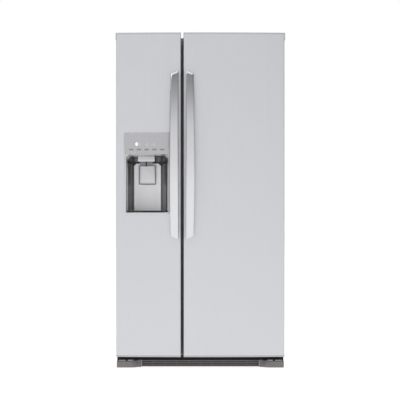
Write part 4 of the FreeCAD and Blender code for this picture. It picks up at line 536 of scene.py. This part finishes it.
def drawer(node):
    """A clear tub with a deep moulded front and a grip hooked under its top edge.

    GRIP is the hook's outline: back from the front, and down from the top, in millimetres.
    """
    low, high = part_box(node)
    x, _, z = spans(low, high)
    front = low.y + DRAWER_FRONT
    tub = (grow(x, -2 * MM), (front - 1 * MM, high.y), (low.z, high.z - 4 * MM))
    shape = Shape().rings(tub_rings(*tub, DRAWER_WALL, 12 * MM, 9 * MM, 2 * MM))
    shape.rings(pillow("xz", x, z, (low.y + 13 * MM, front + 2 * MM), 7 * MM, 2.5 * MM), mat=1)
    hook = [(low.y + back * MM, high.z - down * MM) for back, down in GRIP]
    shape.prism(hook, "yz", grow(x, -GRIP_IN), 0.8 * MM, mat=1)
    shape.put(node + "_tub", node, "clear_plastic", ["clear_plastic", "white_plastic"], [node])


for side in rooms:
    liner(side).put(side + "_room", "cabinet", "liner_plastic", ["liner_plastic"], [side + "_liner"],
                    thick=WALL)
    supports = ledges(side, [high.z - PANE_DOWN - PANE_THICK for low, high in shelf_sets[side]])
    supports.put(side + "_ledges", "cabinet", "liner_plastic", ["liner_plastic"])
for side in rooms:
    shelves = Shape()
    for low, high in shelf_sets[side]:
        shelf(shelves, low, high)
    shelves.put(side + "_glass_shelves", "cabinet", "shelf_glass", ["shelf_glass", "white_plastic"],
                [side + "_shelves"])
for node in ("freezer_drawer", "crisper_lower", "crisper_upper"):
    drawer(node)


# ---- doors: liners, seals, bins ------------------------------------------
DIKE_IN = 14 * MM
DIKE_ROUND = 8 * MM
DIKE_RIB = 26 * MM
DIKE_CORNER = 12 * MM
WELL_CORNER = 10 * MM
WELL_ROUND = 5 * MM
BLOCK_UNDER_CHUTE = 527.5 * MM
BLOCK_OVER_CHUTE = 35 * MM
BLOCK_OVERLAP = 15 * MM
BLOCK_CORNER = 6 * MM
CHUTE_MOUTH = 80 * MM
CHUTE_CLEAR = 0.4 * MM
CHUTE_SLEEVE = 25 * MM
BIN_WALL = 2.5 * MM
SEAL_SECTION = ((0, 0), (0, 2.2), (2.4, 3.6), (2.6, 5.6), (0.4, 7.2), (0, 9), (0, 12.2), (0.8, 13.4),
                (2.4, 13.7), (11.6, 13.7), (13.2, 13.4), (14, 12.2), (14, 9), (13.6, 7.2), (11.4, 5.6),
                (11.6, 3.6), (14, 2.2), (14, 0))


def dike(shape, x, z, base, top):
    """A raised ring moulded in a door's liner, with a flat well inside it."""
    rows = [front_ring(x, z, 3 * MM, base, 14 * MM), front_ring(x, z, 0.8 * MM, base + 1 * MM, DIKE_CORNER),
            front_ring(x, z, 0, base + 4 * MM, DIKE_CORNER)]
    rows += [front_ring(x, z, -i, top - d, DIKE_CORNER - i) for i, d in reversed(fillet(DIKE_ROUND, 4))]
    x, z = grow(x, -DIKE_RIB), grow(z, -DIKE_RIB)
    rows += [front_ring(x, z, i, top - d, WELL_CORNER + i) for i, d in fillet(DIKE_ROUND, 4)]
    rows += [front_ring(x, z, -i, base + d, WELL_CORNER - i) for i, d in reversed(fillet(WELL_ROUND))]
    shape.rings(rows)


def block(shape, sheet, x, z, base, top):
    """The freezer door's sheet and its dispenser block as one closed body, open at the ice chute."""
    low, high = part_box("chute_housing")
    mouth = (grow((low.x, high.x), CHUTE_CLEAR), grow((high.z - CHUTE_MOUTH, high.z), CHUTE_CLEAR))
    rows = [front_ring(*sheet, 0, base - WALL, 1 * MM), front_ring(*sheet, 0, base, 1 * MM),
            front_ring(x, z, 0, base, BLOCK_CORNER)]
    rows += [front_ring(x, z, -i, top - d, BLOCK_CORNER - i / 2) for i, d in reversed(fillet(DIKE_ROUND, 4))]
    rows.append(front_ring(*mouth, 3 * MM, top, 3 * MM))
    rows += [front_ring(*mouth, wider, top - down, 1 * MM)
             for wider, down in ((0, 1 * MM), (0, CHUTE_SLEEVE), (WALL, CHUTE_SLEEVE), (WALL, 2 * WALL))]
    rows += [front_ring(x, z, -2 * WALL - DIKE_ROUND, top - 2 * WALL, 3 * MM),
             front_ring(x, z, -WALL, base - WALL, 5 * MM)]
    shape.rings(rows, close=True)


def door_liner(side, has_block):
    """A door's moulded liner: raised rings on a sheet, and in the freezer door the dispenser's block."""
    low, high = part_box(side + "_door_liner")
    sheet_x, _, sheet_z = spans(low, high)
    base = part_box(side + "_gasket")[0].y
    x = grow(rooms[side], -DIKE_IN)
    z = grow((floor_z, ceiling_z), -DIKE_IN)
    shape = Shape()
    if has_block:
        chute_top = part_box("chute_housing")[1].z
        block_z = (chute_top - BLOCK_UNDER_CHUTE, chute_top + BLOCK_OVER_CHUTE)
        dike(shape, x, (z[0], block_z[0]), base, high.y)
        dike(shape, x, (block_z[1], z[1]), base, high.y)
        block(shape, (sheet_x, sheet_z), grow(x, -0.3 * MM), grow(block_z, BLOCK_OVERLAP), base, high.y)
    else:
        shape.box((low.x, base - WALL, low.z), (high.x, base, high.z), 0.5 * MM)
        dike(shape, x, z, base, high.y)
    shape.put(side + "_door_moulding", side + "_door", "door_liner_plastic", ["door_liner_plastic"],
              [side + "_door_liner"])


def seal(side):
    """A magnetic seal: a flat face on a bellows, all round the door."""
    low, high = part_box(side + "_gasket")
    x, _, z = spans(low, high)
    rows = [front_ring(x, z, -i * MM, low.y + d * MM, 3 * MM, steps=2) for i, d in SEAL_SECTION]
    shape = Shape().rings(rows, close=True)
    shape.put(side + "_seal", side + "_door", "gasket_rubber", ["gasket_rubber"], [side + "_gasket"])


def door_bins(side):
    """Clear bins; each has a rolled rim and a satin band across its front."""
    shape = Shape()
    for low, high in solids(side + "_door_bins"):
        x, y, z = grow((low.x, high.x), -0.5 * MM), (low.y + 1 * MM, high.y - 2 * MM), (low.z, high.z)
        shape.rings(tub_rings(x, y, z, BIN_WALL, 14 * MM, 10 * MM, 1.6 * MM))
        band_z = (high.z - 34 * MM, high.z - 12 * MM)
        band_y = (high.y - 2.2 * MM, high.y - 0.4 * MM)
        shape.rings(pillow("xz", grow(x, -16 * MM), band_z, band_y, 3 * MM, 0.7 * MM), mat=1)
    shape.put(side + "_bins", side + "_door", "clear_plastic", ["clear_plastic", "white_plastic"],
              [side + "_door_bins"])


for side in rooms:
    door_liner(side, side == "freezer")
    seal(side)
    door_bins(side)


# ---- dairy lid -----------------------------------------------------------
LID = 3 * MM
LID_OUTER = ((16, 0), (7, 2.5), (2, 8), (0, 16))
LID_INNER = ((3, 17), (6, 8), (12, 4.5), (17, 3))
LID_GRIP_IN = 90 * MM


def rod(ends, radius, chamfer):
    """A lathe's profile for a rod with chamfered ends."""
    return [(ends[0], radius - chamfer), (ends[0] + chamfer, radius),
            (ends[1] - chamfer, radius), (ends[1], radius - chamfer)]


low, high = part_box("dairy_lid")
lid_top = high.z - 1 * MM
lid_back = low.y + 2 * MM
outer = [(high.y - back * MM, lid_top - down * MM) for back, down in LID_OUTER]
inner = [(high.y - back * MM, lid_top - down * MM) for back, down in LID_INNER]
profile = [(lid_back, lid_top)] + outer + [(high.y, low.z), (high.y - LID, low.z)] + inner
lid = Shape().prism(profile + [(lid_back, lid_top - LID)], "yz", (low.x, high.x), 0.4 * MM)
lid.lathe("x", (0, low.y + 2.5 * MM, high.z - 2.5 * MM), rod((low.x, high.x), 2.4 * MM, 0.6 * MM), sides=16)
lid.box((low.x + LID_GRIP_IN, high.y - LID, low.z), (high.x - LID_GRIP_IN, high.y, low.z + 5 * MM),
        1 * MM, mat=1)
lid.put("dairy_cover", "dairy_lid", "clear_plastic", ["clear_plastic", "white_plastic"], ["dairy_lid"])


# ---- lamps and filter ----------------------------------------------------
LAMP_RIBS = 7
FILTER_TURNED = ((12, 5), (13, 3), (21, 3), (22, 1), (24, 0), (60, 0), (61, 0.8), (63, 0.8), (64, 0))
FILTER_ROUND = 3 * MM

lamps = Shape()
for low, high in solids("interior_lamps"):
    x, y, z = spans(low, high)
    lamps.rings(pillow("xy", x, y, (high.z - 4 * MM, high.z), 9 * MM, 1.5 * MM), mat=1)
    lamps.rings(pillow("xy", grow(x, -4 * MM), grow(y, -4 * MM), (low.z, high.z - 3 * MM), 7 * MM, 4 * MM))
    for i in range(LAMP_RIBS):
        at = low.x + (high.x - low.x) * (i + 1) / (LAMP_RIBS + 1)
        lamps.box((at - 1 * MM, low.y + 12 * MM, low.z), (at + 1 * MM, high.y - 12 * MM, low.z + 2 * MM),
                  0.5 * MM)
lamps.put("lamp_covers", "cabinet", "lamp_lens", ["lamp_lens", "white_plastic"], ["interior_lamps"])

low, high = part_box("water_filter")
axis_x, axis_z = (low.x + high.x) / 2, (low.z + high.z) / 2
radius = (high.x - low.x) / 2
turned = [(low.y + at * MM, radius - less * MM) for at, less in FILTER_TURNED]
turned += [(high.y - FILTER_ROUND, radius), (high.y, radius - FILTER_ROUND)]
cartridge = Shape().lathe("y", (axis_x, 0, axis_z), turned, sides=48)
cartridge.box((axis_x - 4 * MM, low.y, axis_z - 15 * MM),
              (axis_x + 4 * MM, low.y + 14 * MM, axis_z + 15 * MM), 2.5 * MM, steps=3)
cartridge.put("filter_cartridge", "water_filter", "white_plastic", ["white_plastic"], ["water_filter"])


# ---- dispenser: recess, paddle, tray, spout --------------------------------
POCKET = 7 * MM
RECESS_CUT = 13 * MM
RECESS_BACK = 135 * MM
RECESS_CORNER = 9 * MM
CUT_STEPS = 5
SIDE_STEPS = (0, 0.25, 0.5, 0.75, 0.9)
POCKET_STEPS = ((0, 0), (0.8, 0.8), (1, 4), (1.4, 13), (3, 14))
PADDLE_FACE = ((2, 4), (0.4, 3.6), (0, 2.6), (0, 1.2), (0.6, 0.3), (1.6, 0), (4, 0), (5.2, 0.5),
               (6.4, 1.5), (9, 1.6))
PADDLE_RIBS = 3
TRAY_BARS = 8
TRAY_BED = 2.2 * MM
BEZEL = ((1.2, 35), (1.4, 12), (1.6, 2), (1.2, 0.4), (0, 0), (-3, 0), (-4, 1), (-4.4, 35))
frame_low, frame_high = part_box("dispenser_frame")
paddle_low, paddle_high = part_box("dispenser_paddle")
tray_low, tray_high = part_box("drip_tray")
chute_low, chute_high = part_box("chute_housing")
recess_middle = (paddle_low.x + paddle_high.x) / 2
mouth_x = (frame_low.x + 11.9 * MM, frame_high.x - 8 * MM)
mouth_z = (frame_low.z + 6 * MM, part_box("control_panel")[0].z - 4 * MM)
mouth_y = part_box("dispenser_recess")[0].y - 4 * MM
back_x = (recess_middle - RECESS_BACK / 2, recess_middle + RECESS_BACK / 2)
back_z = (tray_low.z - 0.5 * MM, paddle_high.z + 12 * MM)
back_y = paddle_low.y + 11 * MM
paddle_x = (paddle_low.x + 7 * MM, paddle_high.x - 7 * MM)
paddle_z = (paddle_low.z, paddle_high.z)


def recess_ring(x, z, y, low_corner, cut):
    """The recess in outline: rounded at its two low corners and cut across at the two high ones."""
    shares = [i / CUT_STEPS for i in range(CUT_STEPS + 1)]
    right = [(x[1] - cut * t, y, z[1] - cut * (1 - t)) for t in shares]
    left = [(x[0] + cut * (1 - t), y, z[1] - cut * t) for t in shares]
    return right + left + ring("xz", x, z, y, low_corner, CUT_STEPS)[2 * (CUT_STEPS + 1):]


def between(t):
    """A ring of the tapering recess, t of the way from its mouth to its back."""
    x = [mouth + (back - mouth) * t for mouth, back in zip(mouth_x, back_x)]
    z = [mouth + (back - mouth) * t for mouth, back in zip(mouth_z, back_z)]
    return recess_ring(x, z, mouth_y + (back_y - mouth_y) * t, (1.5 + 8 * t) * MM, RECESS_CUT)


sides = [between(t) for t in SIDE_STEPS]
turn = []
for inset, along in reversed(fillet(7 * MM)):
    x, z = grow(back_x, 0.6 * MM - inset), grow(back_z, 0.6 * MM - inset)
    turn.append(recess_ring(x, z, back_y - along, RECESS_CORNER - inset, RECESS_CUT - inset / 2))
pocket = [front_ring(paddle_x, paddle_z, POCKET - i * MM, back_y + d * MM, 6 * MM) for i, d in POCKET_STEPS]
recess = Shape()
# the recess's side bands take the painted shade; its back and the paddle's pocket keep the plain moulding
# colour
recess.rings(sides + turn + pocket, caps=(False, True), mats=[1] * len(sides) + [0] * len(turn + pocket))
recess.put("recess_moulding", "freezer_door", "recess_plastic", ["recess_plastic", "recess_side_shade"],
           ["dispenser_recess"], thick=WALL)

face_y = paddle_low.y
field = [front_ring(paddle_x, paddle_z, -i * MM, face_y + d * MM, (7 - i * 0.6) * MM) for i, d in PADDLE_FACE]
paddle = Shape().rings(field)
paddle.lathe("x", (0, face_y + 2 * MM, paddle_high.z - 3 * MM),
             rod((paddle_low.x, paddle_high.x), 2 * MM, 0.4 * MM), sides=16)
for i in range(PADDLE_RIBS):
    z = paddle_low.z + (14 + 7 * i) * MM
    paddle.box((recess_middle - 16 * MM, face_y + 0.6 * MM, z),
               (recess_middle + 16 * MM, face_y + 2.2 * MM, z + 2.4 * MM), 0.7 * MM)
paddle.put("paddle_plate", "dispenser_paddle", "paddle_plastic", ["paddle_plastic"], ["dispenser_paddle"])

tray = Shape()
near = (tray_low.x, tray_high.x)
far = grow(back_x, -3 * MM)
outline = [(near[0], tray_low.y), (near[1], tray_low.y), (far[1], tray_high.y), (far[0], tray_high.y)]
# the tray's bed under the bars is painted shade
tray.prism(outline, "xy", (tray_low.z, tray_low.z + TRAY_BED), 0.4 * MM, mat=1)
for i in range(TRAY_BARS):
    t = (i + 0.5) / TRAY_BARS
    y = tray_low.y + (tray_high.y - tray_low.y) * t
    x = grow([n + (f - n) * t for n, f in zip(near, far)], -2.5 * MM)
    tray.box((x[0], y - 2.6 * MM, tray_low.z + 1.6 * MM), (x[1], y + 2.6 * MM, tray_high.z), 1 * MM)
tray.put("drip_grid", "freezer_door", "tray_plastic", ["tray_plastic", "gap_shade"], ["drip_tray"])

spout_x = (chute_low.x, chute_high.x)
spout_y = grow((chute_low.y, chute_low.y + 49 * MM), -1 * MM)
spout_z = chute_low.z + 19 * MM
bezel = [ring("xy", grow(spout_x, g * MM), grow(spout_y, g * MM), spout_z + h * MM, (4 + g) * MM)
         for g, h in BEZEL]
spout = Shape().rings(bezel, close=True)
spout.put("spout_housing", "freezer_door", "dispenser_silver", ["dispenser_silver"])

tip = chute_low.z - 4 * MM
nozzle_at = ((spout_x[0] + spout_x[1]) / 2, spout_y[0] + 9 * MM, 0)
tube = [(spout_z + 10 * MM, 5 * MM), (tip + 6 * MM, 5 * MM), (tip + 5 * MM, 4 * MM), (tip + 1 * MM, 3.6 * MM),
        (tip, 3.2 * MM), (tip, 2 * MM), (tip + 8 * MM, 1.8 * MM)]
nozzle = Shape().lathe("z", nozzle_at, tube, sides=20)
nozzle.put("water_nozzle", "freezer_door", "black_plastic", ["black_plastic"])


# ---- control panel, its marks and keys -------------------------------------
PANEL = "control_panel"
PANEL_THICK = 3 * MM
PANEL_ROWS = 6
KEY_CLEAR = 0.4 * MM
KEYS = ("key_1", "key_2", "key_3", "key_4", "key_5")
KEY_BARS = ((-6.6, 3.6), (-0.6, 6.4), (5.8, 4.2))
RINGED_KEYS = KEYS[1:4]
MARK = 0.25 * MM
MARKS_UP = 26 * MM


def mark(shape, x, z, width, height, mat):
    """A thin printed bar that follows the panel's face."""
    left, right = x - width / 2, x + width / 2
    y = [front_of(PANEL, left, z) - MARK, front_of(PANEL, right, z) - MARK]
    low = [(left, y[0], z - height / 2), (right, y[1], z - height / 2),
           (right, y[1], z + height / 2), (left, y[0], z + height / 2)]
    high = [(px, py + 2 * MARK, pz) for px, py, pz in low]
    shape.rings([low, high], mat=mat)


def hoop(shape, x, z, radius, line, mat):
    """A printed ring that follows the panel's face."""
    left, centre, right = (front_of(PANEL, x + d * radius, z) for d in (-1, 0, 1))
    rows = []
    for r, lift in ((radius, -MARK), (radius - line, -MARK), (radius - line, MARK), (radius, MARK)):
        flat = circle("y", (x, 0, z), 0, r)
        rows.append([(p.x, centre + (right - left) / 2 * (p.x - x) / radius + lift, p.z) for p in flat])
    shape.rings(rows, close=True, mat=mat)


def panel_face(keys):
    """The curved control panel, open around its keys, with a bed behind them in painted shade."""
    low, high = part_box(PANEL)
    front = {}

    def face_at(x):
        if x not in front:
            front[x] = front_of(PANEL, min(max(x, low.x + 0.2 * MM), high.x - 0.2 * MM), high.z - 8 * MM)
        return front[x]

    key_z = grow((keys[0][0].z, keys[0][1].z), KEY_CLEAR)
    edges = sorted([x for k in keys for x in grow((k[0].x, k[1].x), KEY_CLEAR)])
    columns = [low.x] + edges + [high.x]
    holes = [columns[i] for i in range(1, len(columns) - 1, 2)]
    heights = [low.z, (low.z + key_z[0]) / 2, key_z[0], key_z[1]]
    heights += [key_z[1] + (high.z - key_z[1]) * i / PANEL_ROWS for i in range(1, PANEL_ROWS + 1)]
    key_row = heights.index(key_z[0])
    shape = Shape()
    grid = {(i, j): [shape.bm.verts.new((x, face_at(x) + d, z)) for d in (0, PANEL_THICK)]
            for i, x in enumerate(columns) for j, z in enumerate(heights)}

    def solid(i, j):
        inside = 0 <= i < len(columns) - 1 and 0 <= j < len(heights) - 1
        return inside and not (columns[i] in holes and j == key_row)

    for i in range(len(columns) - 1):
        for j in range(len(heights) - 1):
            if not solid(i, j):
                continue
            loop = [(i, j), (i + 1, j), (i + 1, j + 1), (i, j + 1)]
            shape.bm.faces.new([grid[p][0] for p in loop])
            shape.bm.faces.new([grid[p][1] for p in reversed(loop)])
            beside = ((i, j - 1), (i + 1, j), (i, j + 1), (i - 1, j))
            for other, p, q in zip(beside, loop, loop[1:] + loop[:1]):
                if not solid(*other):
                    shape.bm.faces.new((grid[q][0], grid[p][0], grid[p][1], grid[q][1]))
    # the bed behind the keys is painted shade, so the gaps round them read dark
    bed_y = max(k[1].y for k in keys) + 1.2 * MM
    bed_x, bed_z = grow((edges[0], edges[-1]), 3 * MM), grow(key_z, 3 * MM)
    shape.box((bed_x[0], bed_y, bed_z[0]), (bed_x[1], bed_y + 1.5 * MM, bed_z[1]), 0.4 * MM, mat=1)
    shape.put("panel_plate", "freezer_door", "panel_silver", ["panel_silver", "gap_shade"], [PANEL])


panel_face([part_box(node) for node in KEYS])
marks = Shape()
for node in KEYS:
    low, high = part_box(node)
    key_x, key_z = (low.x + high.x) / 2, (low.z + high.z) / 2
    cap = Shape().rings(pillow("xz", (low.x, high.x), (low.z, high.z), (low.y, high.y), 2.2 * MM, 0.7 * MM))
    for at, width in KEY_BARS:
        cap.box((key_x + (at - width / 2) * MM, low.y - 0.12 * MM, key_z - 1.7 * MM),
                (key_x + (at + width / 2) * MM, low.y + 0.4 * MM, key_z + 1.7 * MM), 0.1 * MM, mat=1, steps=1)
    cap.put(node + "_cap", node, "key_plastic", ["key_plastic", "ink"], [node])
    if node in RINGED_KEYS:
        hoop(marks, key_x, key_z + MARKS_UP, 7 * MM, 0.8 * MM, mat=1)
        mark(marks, key_x, key_z + MARKS_UP, 5 * MM, 0.9 * MM, mat=1)
lit_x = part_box("key_2")[0].x - 1 * MM
mark(marks, lit_x, key_z + MARKS_UP + 2 * MM, 7 * MM, 12 * MM, mat=2)
marks.put("panel_marks", "freezer_door", "panel_silver", ["ink", "pale_ink", "lit_mark"])


# ---- kick grille -----------------------------------------------------------
LOUVRES = 4
GRILLE_BAYS = 10
GRILLE_POST = 3 * MM
ARM_AT = 267 * MM
ARM_WIDE = 10 * MM
low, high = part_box("kick_grille")
front = low.y
pitch = (high.z - low.z) / LOUVRES
grille = Shape()
# the plate behind the louvres is painted shade, darkening the grooves between the blades
grille.box((low.x, front + 7 * MM, low.z), (high.x, front + 9 * MM, high.z - 1 * MM), 0.5 * MM, mat=1)
for i in range(LOUVRES):
    z = low.z + pitch * i
    blade = [(front + 8 * MM, z + 1.2 * MM), (front + 2.5 * MM, z + 0.4 * MM), (front, z + 1.6 * MM),
             (front + 0.6 * MM, z + pitch - 3.4 * MM), (front + 8 * MM, z + pitch - 1.6 * MM)]
    grille.prism(blade, "yz", (low.x, high.x), 0.4 * MM)
for i in range(GRILLE_BAYS + 1):
    x = low.x + (high.x - low.x) * i / GRILLE_BAYS
    x = min(max(x, low.x + GRILLE_POST / 2), high.x - GRILLE_POST / 2)
    grille.box((x - GRILLE_POST / 2, front + 1.4 * MM, low.z + 1 * MM),
               (x + GRILLE_POST / 2, front + 8 * MM, high.z - 1.5 * MM), 0.6 * MM)
for x in (-ARM_AT, ARM_AT):
    grille.box((x - ARM_WIDE / 2, front + 8 * MM, low.z + 6 * MM),
               (x + ARM_WIDE / 2, high.y, low.z + 32 * MM), 1 * MM)
grille.put("kick_louvres", "cabinet", "plinth_plastic", ["plinth_plastic", "gap_shade"], ["kick_grille"])


# ---- rear ----------------------------------------------------------------
PRESSED = ((30, 0), (33, 1.1), (43, 1.1), (46, 0), (120, 0), (123, 1.1), (133, 1.1), (136, 0))
SCREW_IN = 14 * MM
SCREW_UP = 12 * MM
COVER_SCREWS = (60 * MM, 300 * MM)
SCREW_HEAD = [(-1 * MM, 5.5 * MM), (-0.4 * MM, 4.4 * MM)]
low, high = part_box("back_panel")
x, _, z = spans(low, high)
panel = [front_ring(x, z, -1 * MM, low.y, 3 * MM), front_ring(x, z, 0, low.y + 0.4 * MM, 4 * MM),
         front_ring(x, z, 0, high.y - 0.3 * MM, 4 * MM), front_ring(x, z, -0.4 * MM, high.y, 4 * MM)]
panel += [front_ring(x, z, -inset * MM, high.y - depth * MM, 24 * MM) for inset, depth in PRESSED]
Shape().rings(panel).put("rear_sheet", "cabinet", "galvanised_steel", ["galvanised_steel"], ["back_panel"])

cover_low, cover_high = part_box("rear_cover")
screw_x = (x[0] + SCREW_IN, (x[0] + x[1]) / 2, x[1] - SCREW_IN)
places = [(sx, sz) for sz in (z[0] + SCREW_UP, z[1] - SCREW_IN) for sx in screw_x]
places += [(sx, (z[0] + z[1]) / 2) for sx in (screw_x[0], screw_x[2])]
cover_x = [cover_low.x + d for d in COVER_SCREWS] + [cover_high.x - d for d in reversed(COVER_SCREWS)]
places += [(sx, cover_high.z - 9 * MM) for sx in cover_x]
screws = Shape()
for sx, sz in places:
    screws.lathe("y", (sx, high.y, sz), SCREW_HEAD, sides=20)
screws.put("rear_screws", "cabinet", "galvanised_steel", ["galvanised_steel"])


# ---- floor ---------------------------------------------------------------
FLOOR_GLOW = 0.84
FLOOR_REACH = 30.0
surface("floor_paint", linear(140, 140, 140), 0.7, grain=60, relief=0.05, spread=0.01)
floor_shader = MATERIALS["floor_paint"].node_tree.nodes["Principled BSDF"]
floor_shader.inputs["Emission Color"].default_value = (1.0, 1.0, 1.0, 1.0)
floor_shader.inputs["Emission Strength"].default_value = FLOOR_GLOW
corners = [(x * FLOOR_REACH, y * FLOOR_REACH, 0) for x, y in ((-1, -1), (1, -1), (1, 1), (-1, 1))]
floor_mesh = bpy.data.meshes.new("floor")
floor_mesh.from_pydata(corners, [], [(0, 1, 2, 3)])
floor_mesh.materials.append(MATERIALS["floor_paint"])
floor = bpy.data.objects.new("floor", floor_mesh)
bpy.context.scene.collection.objects.link(floor)


# ---- light: a studio that is bright ahead, dark overhead and plain white behind the object ----
WORLD_LEVEL = 3.84
LEVEL_TOP = 2.0
UP_LIGHT = ((0.0, 0.94), (0.12, 0.94), (0.16, 0.83), (0.2, 0.62), (0.24, 0.36), (0.28, 0.26), (0.44, 0.26),
            (0.58, 1.2), (1.0, 1.5))
SIDE_LIGHT = ((0.0, 1.0), (0.3, 0.98), (0.5, 0.72), (0.8, 0.55), (1.0, 0.7))


def light_ramp(tree, value, stops):
    """Light along a direction, as shares of LEVEL_TOP, because the curve ends at 1."""
    ramp = add(tree, "ShaderNodeFloatCurve", {"Value": value})
    curve = ramp.mapping.curves[0]
    curve.points[0].location = (stops[0][0], stops[0][1] / LEVEL_TOP)
    curve.points[1].location = (stops[-1][0], stops[-1][1] / LEVEL_TOP)
    for at, level in stops[1:-1]:
        curve.points.new(at, level / LEVEL_TOP)
    ramp.mapping.update()
    return ramp.outputs["Value"]


def softbox(name, place, target, size, power):
    """A rectangular lamp that points at a target."""
    data = bpy.data.lights.new(name, "AREA")
    data.shape = "RECTANGLE"
    data.size, data.size_y = size
    data.energy = power
    lamp = bpy.data.objects.new(name, data)
    lamp.location = place
    lamp.rotation_euler = (Vector(target) - Vector(place)).to_track_quat("-Z", "Y").to_euler()
    bpy.context.scene.collection.objects.link(lamp)


world = bpy.data.worlds.new("studio")
world.use_nodes = True
bpy.context.scene.world = world
tree = world.node_tree
way = add(tree, "ShaderNodeSeparateXYZ", {"Vector": add(tree, "ShaderNodeTexCoord").outputs["Generated"]})
sideways = add(tree, "ShaderNodeMath", {0: way.outputs["X"]}, operation="ABSOLUTE").outputs["Value"]
up = light_ramp(tree, way.outputs["Z"], UP_LIGHT)
across = light_ramp(tree, sideways, SIDE_LIGHT)
level = add(tree, "ShaderNodeMath", {0: up, 1: across}, operation="MULTIPLY").outputs["Value"]
level = add(tree, "ShaderNodeMath", {0: level, 1: WORLD_LEVEL}, operation="MULTIPLY").outputs["Value"]
seen = add(tree, "ShaderNodeLightPath").outputs["Is Camera Ray"]
tree.links.new(mixed(tree, seen, level, 1.0), tree.nodes["Background"].inputs["Strength"])
tree.nodes["Background"].inputs["Color"].default_value = (1.0, 1.0, 1.0, 1.0)

softbox("key_light", (-3.2, -3.4, 3.6), (0, 0, 0.8), (1.8, 1.8), 35)
softbox("back_light", (1.5, 3.4, 3.0), (0, 0, 0.9), (2.4, 2.0), 30)


# ---- camera: straight on, with the whole picture's width given at the doors ----
CAMERA_FROM_DOORS = 12.0
CAMERA_HEIGHT = 0.836
CAMERA_X = -0.0017
PICTURE_WIDTH = 1.9856
SENSOR = 36.0
camera_data = bpy.data.cameras.new("camera")
camera_data.sensor_width = SENSOR
camera_data.lens = SENSOR * CAMERA_FROM_DOORS / PICTURE_WIDTH
camera = bpy.data.objects.new("camera", camera_data)
camera.location = (CAMERA_X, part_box("fridge_door_skin")[0].y - CAMERA_FROM_DOORS, CAMERA_HEIGHT)
camera.rotation_euler = (math.pi / 2, 0, 0)
bpy.context.scene.collection.objects.link(camera)
bpy.context.scene.camera = camera
bpy.context.scene.view_settings.view_transform = "Standard"
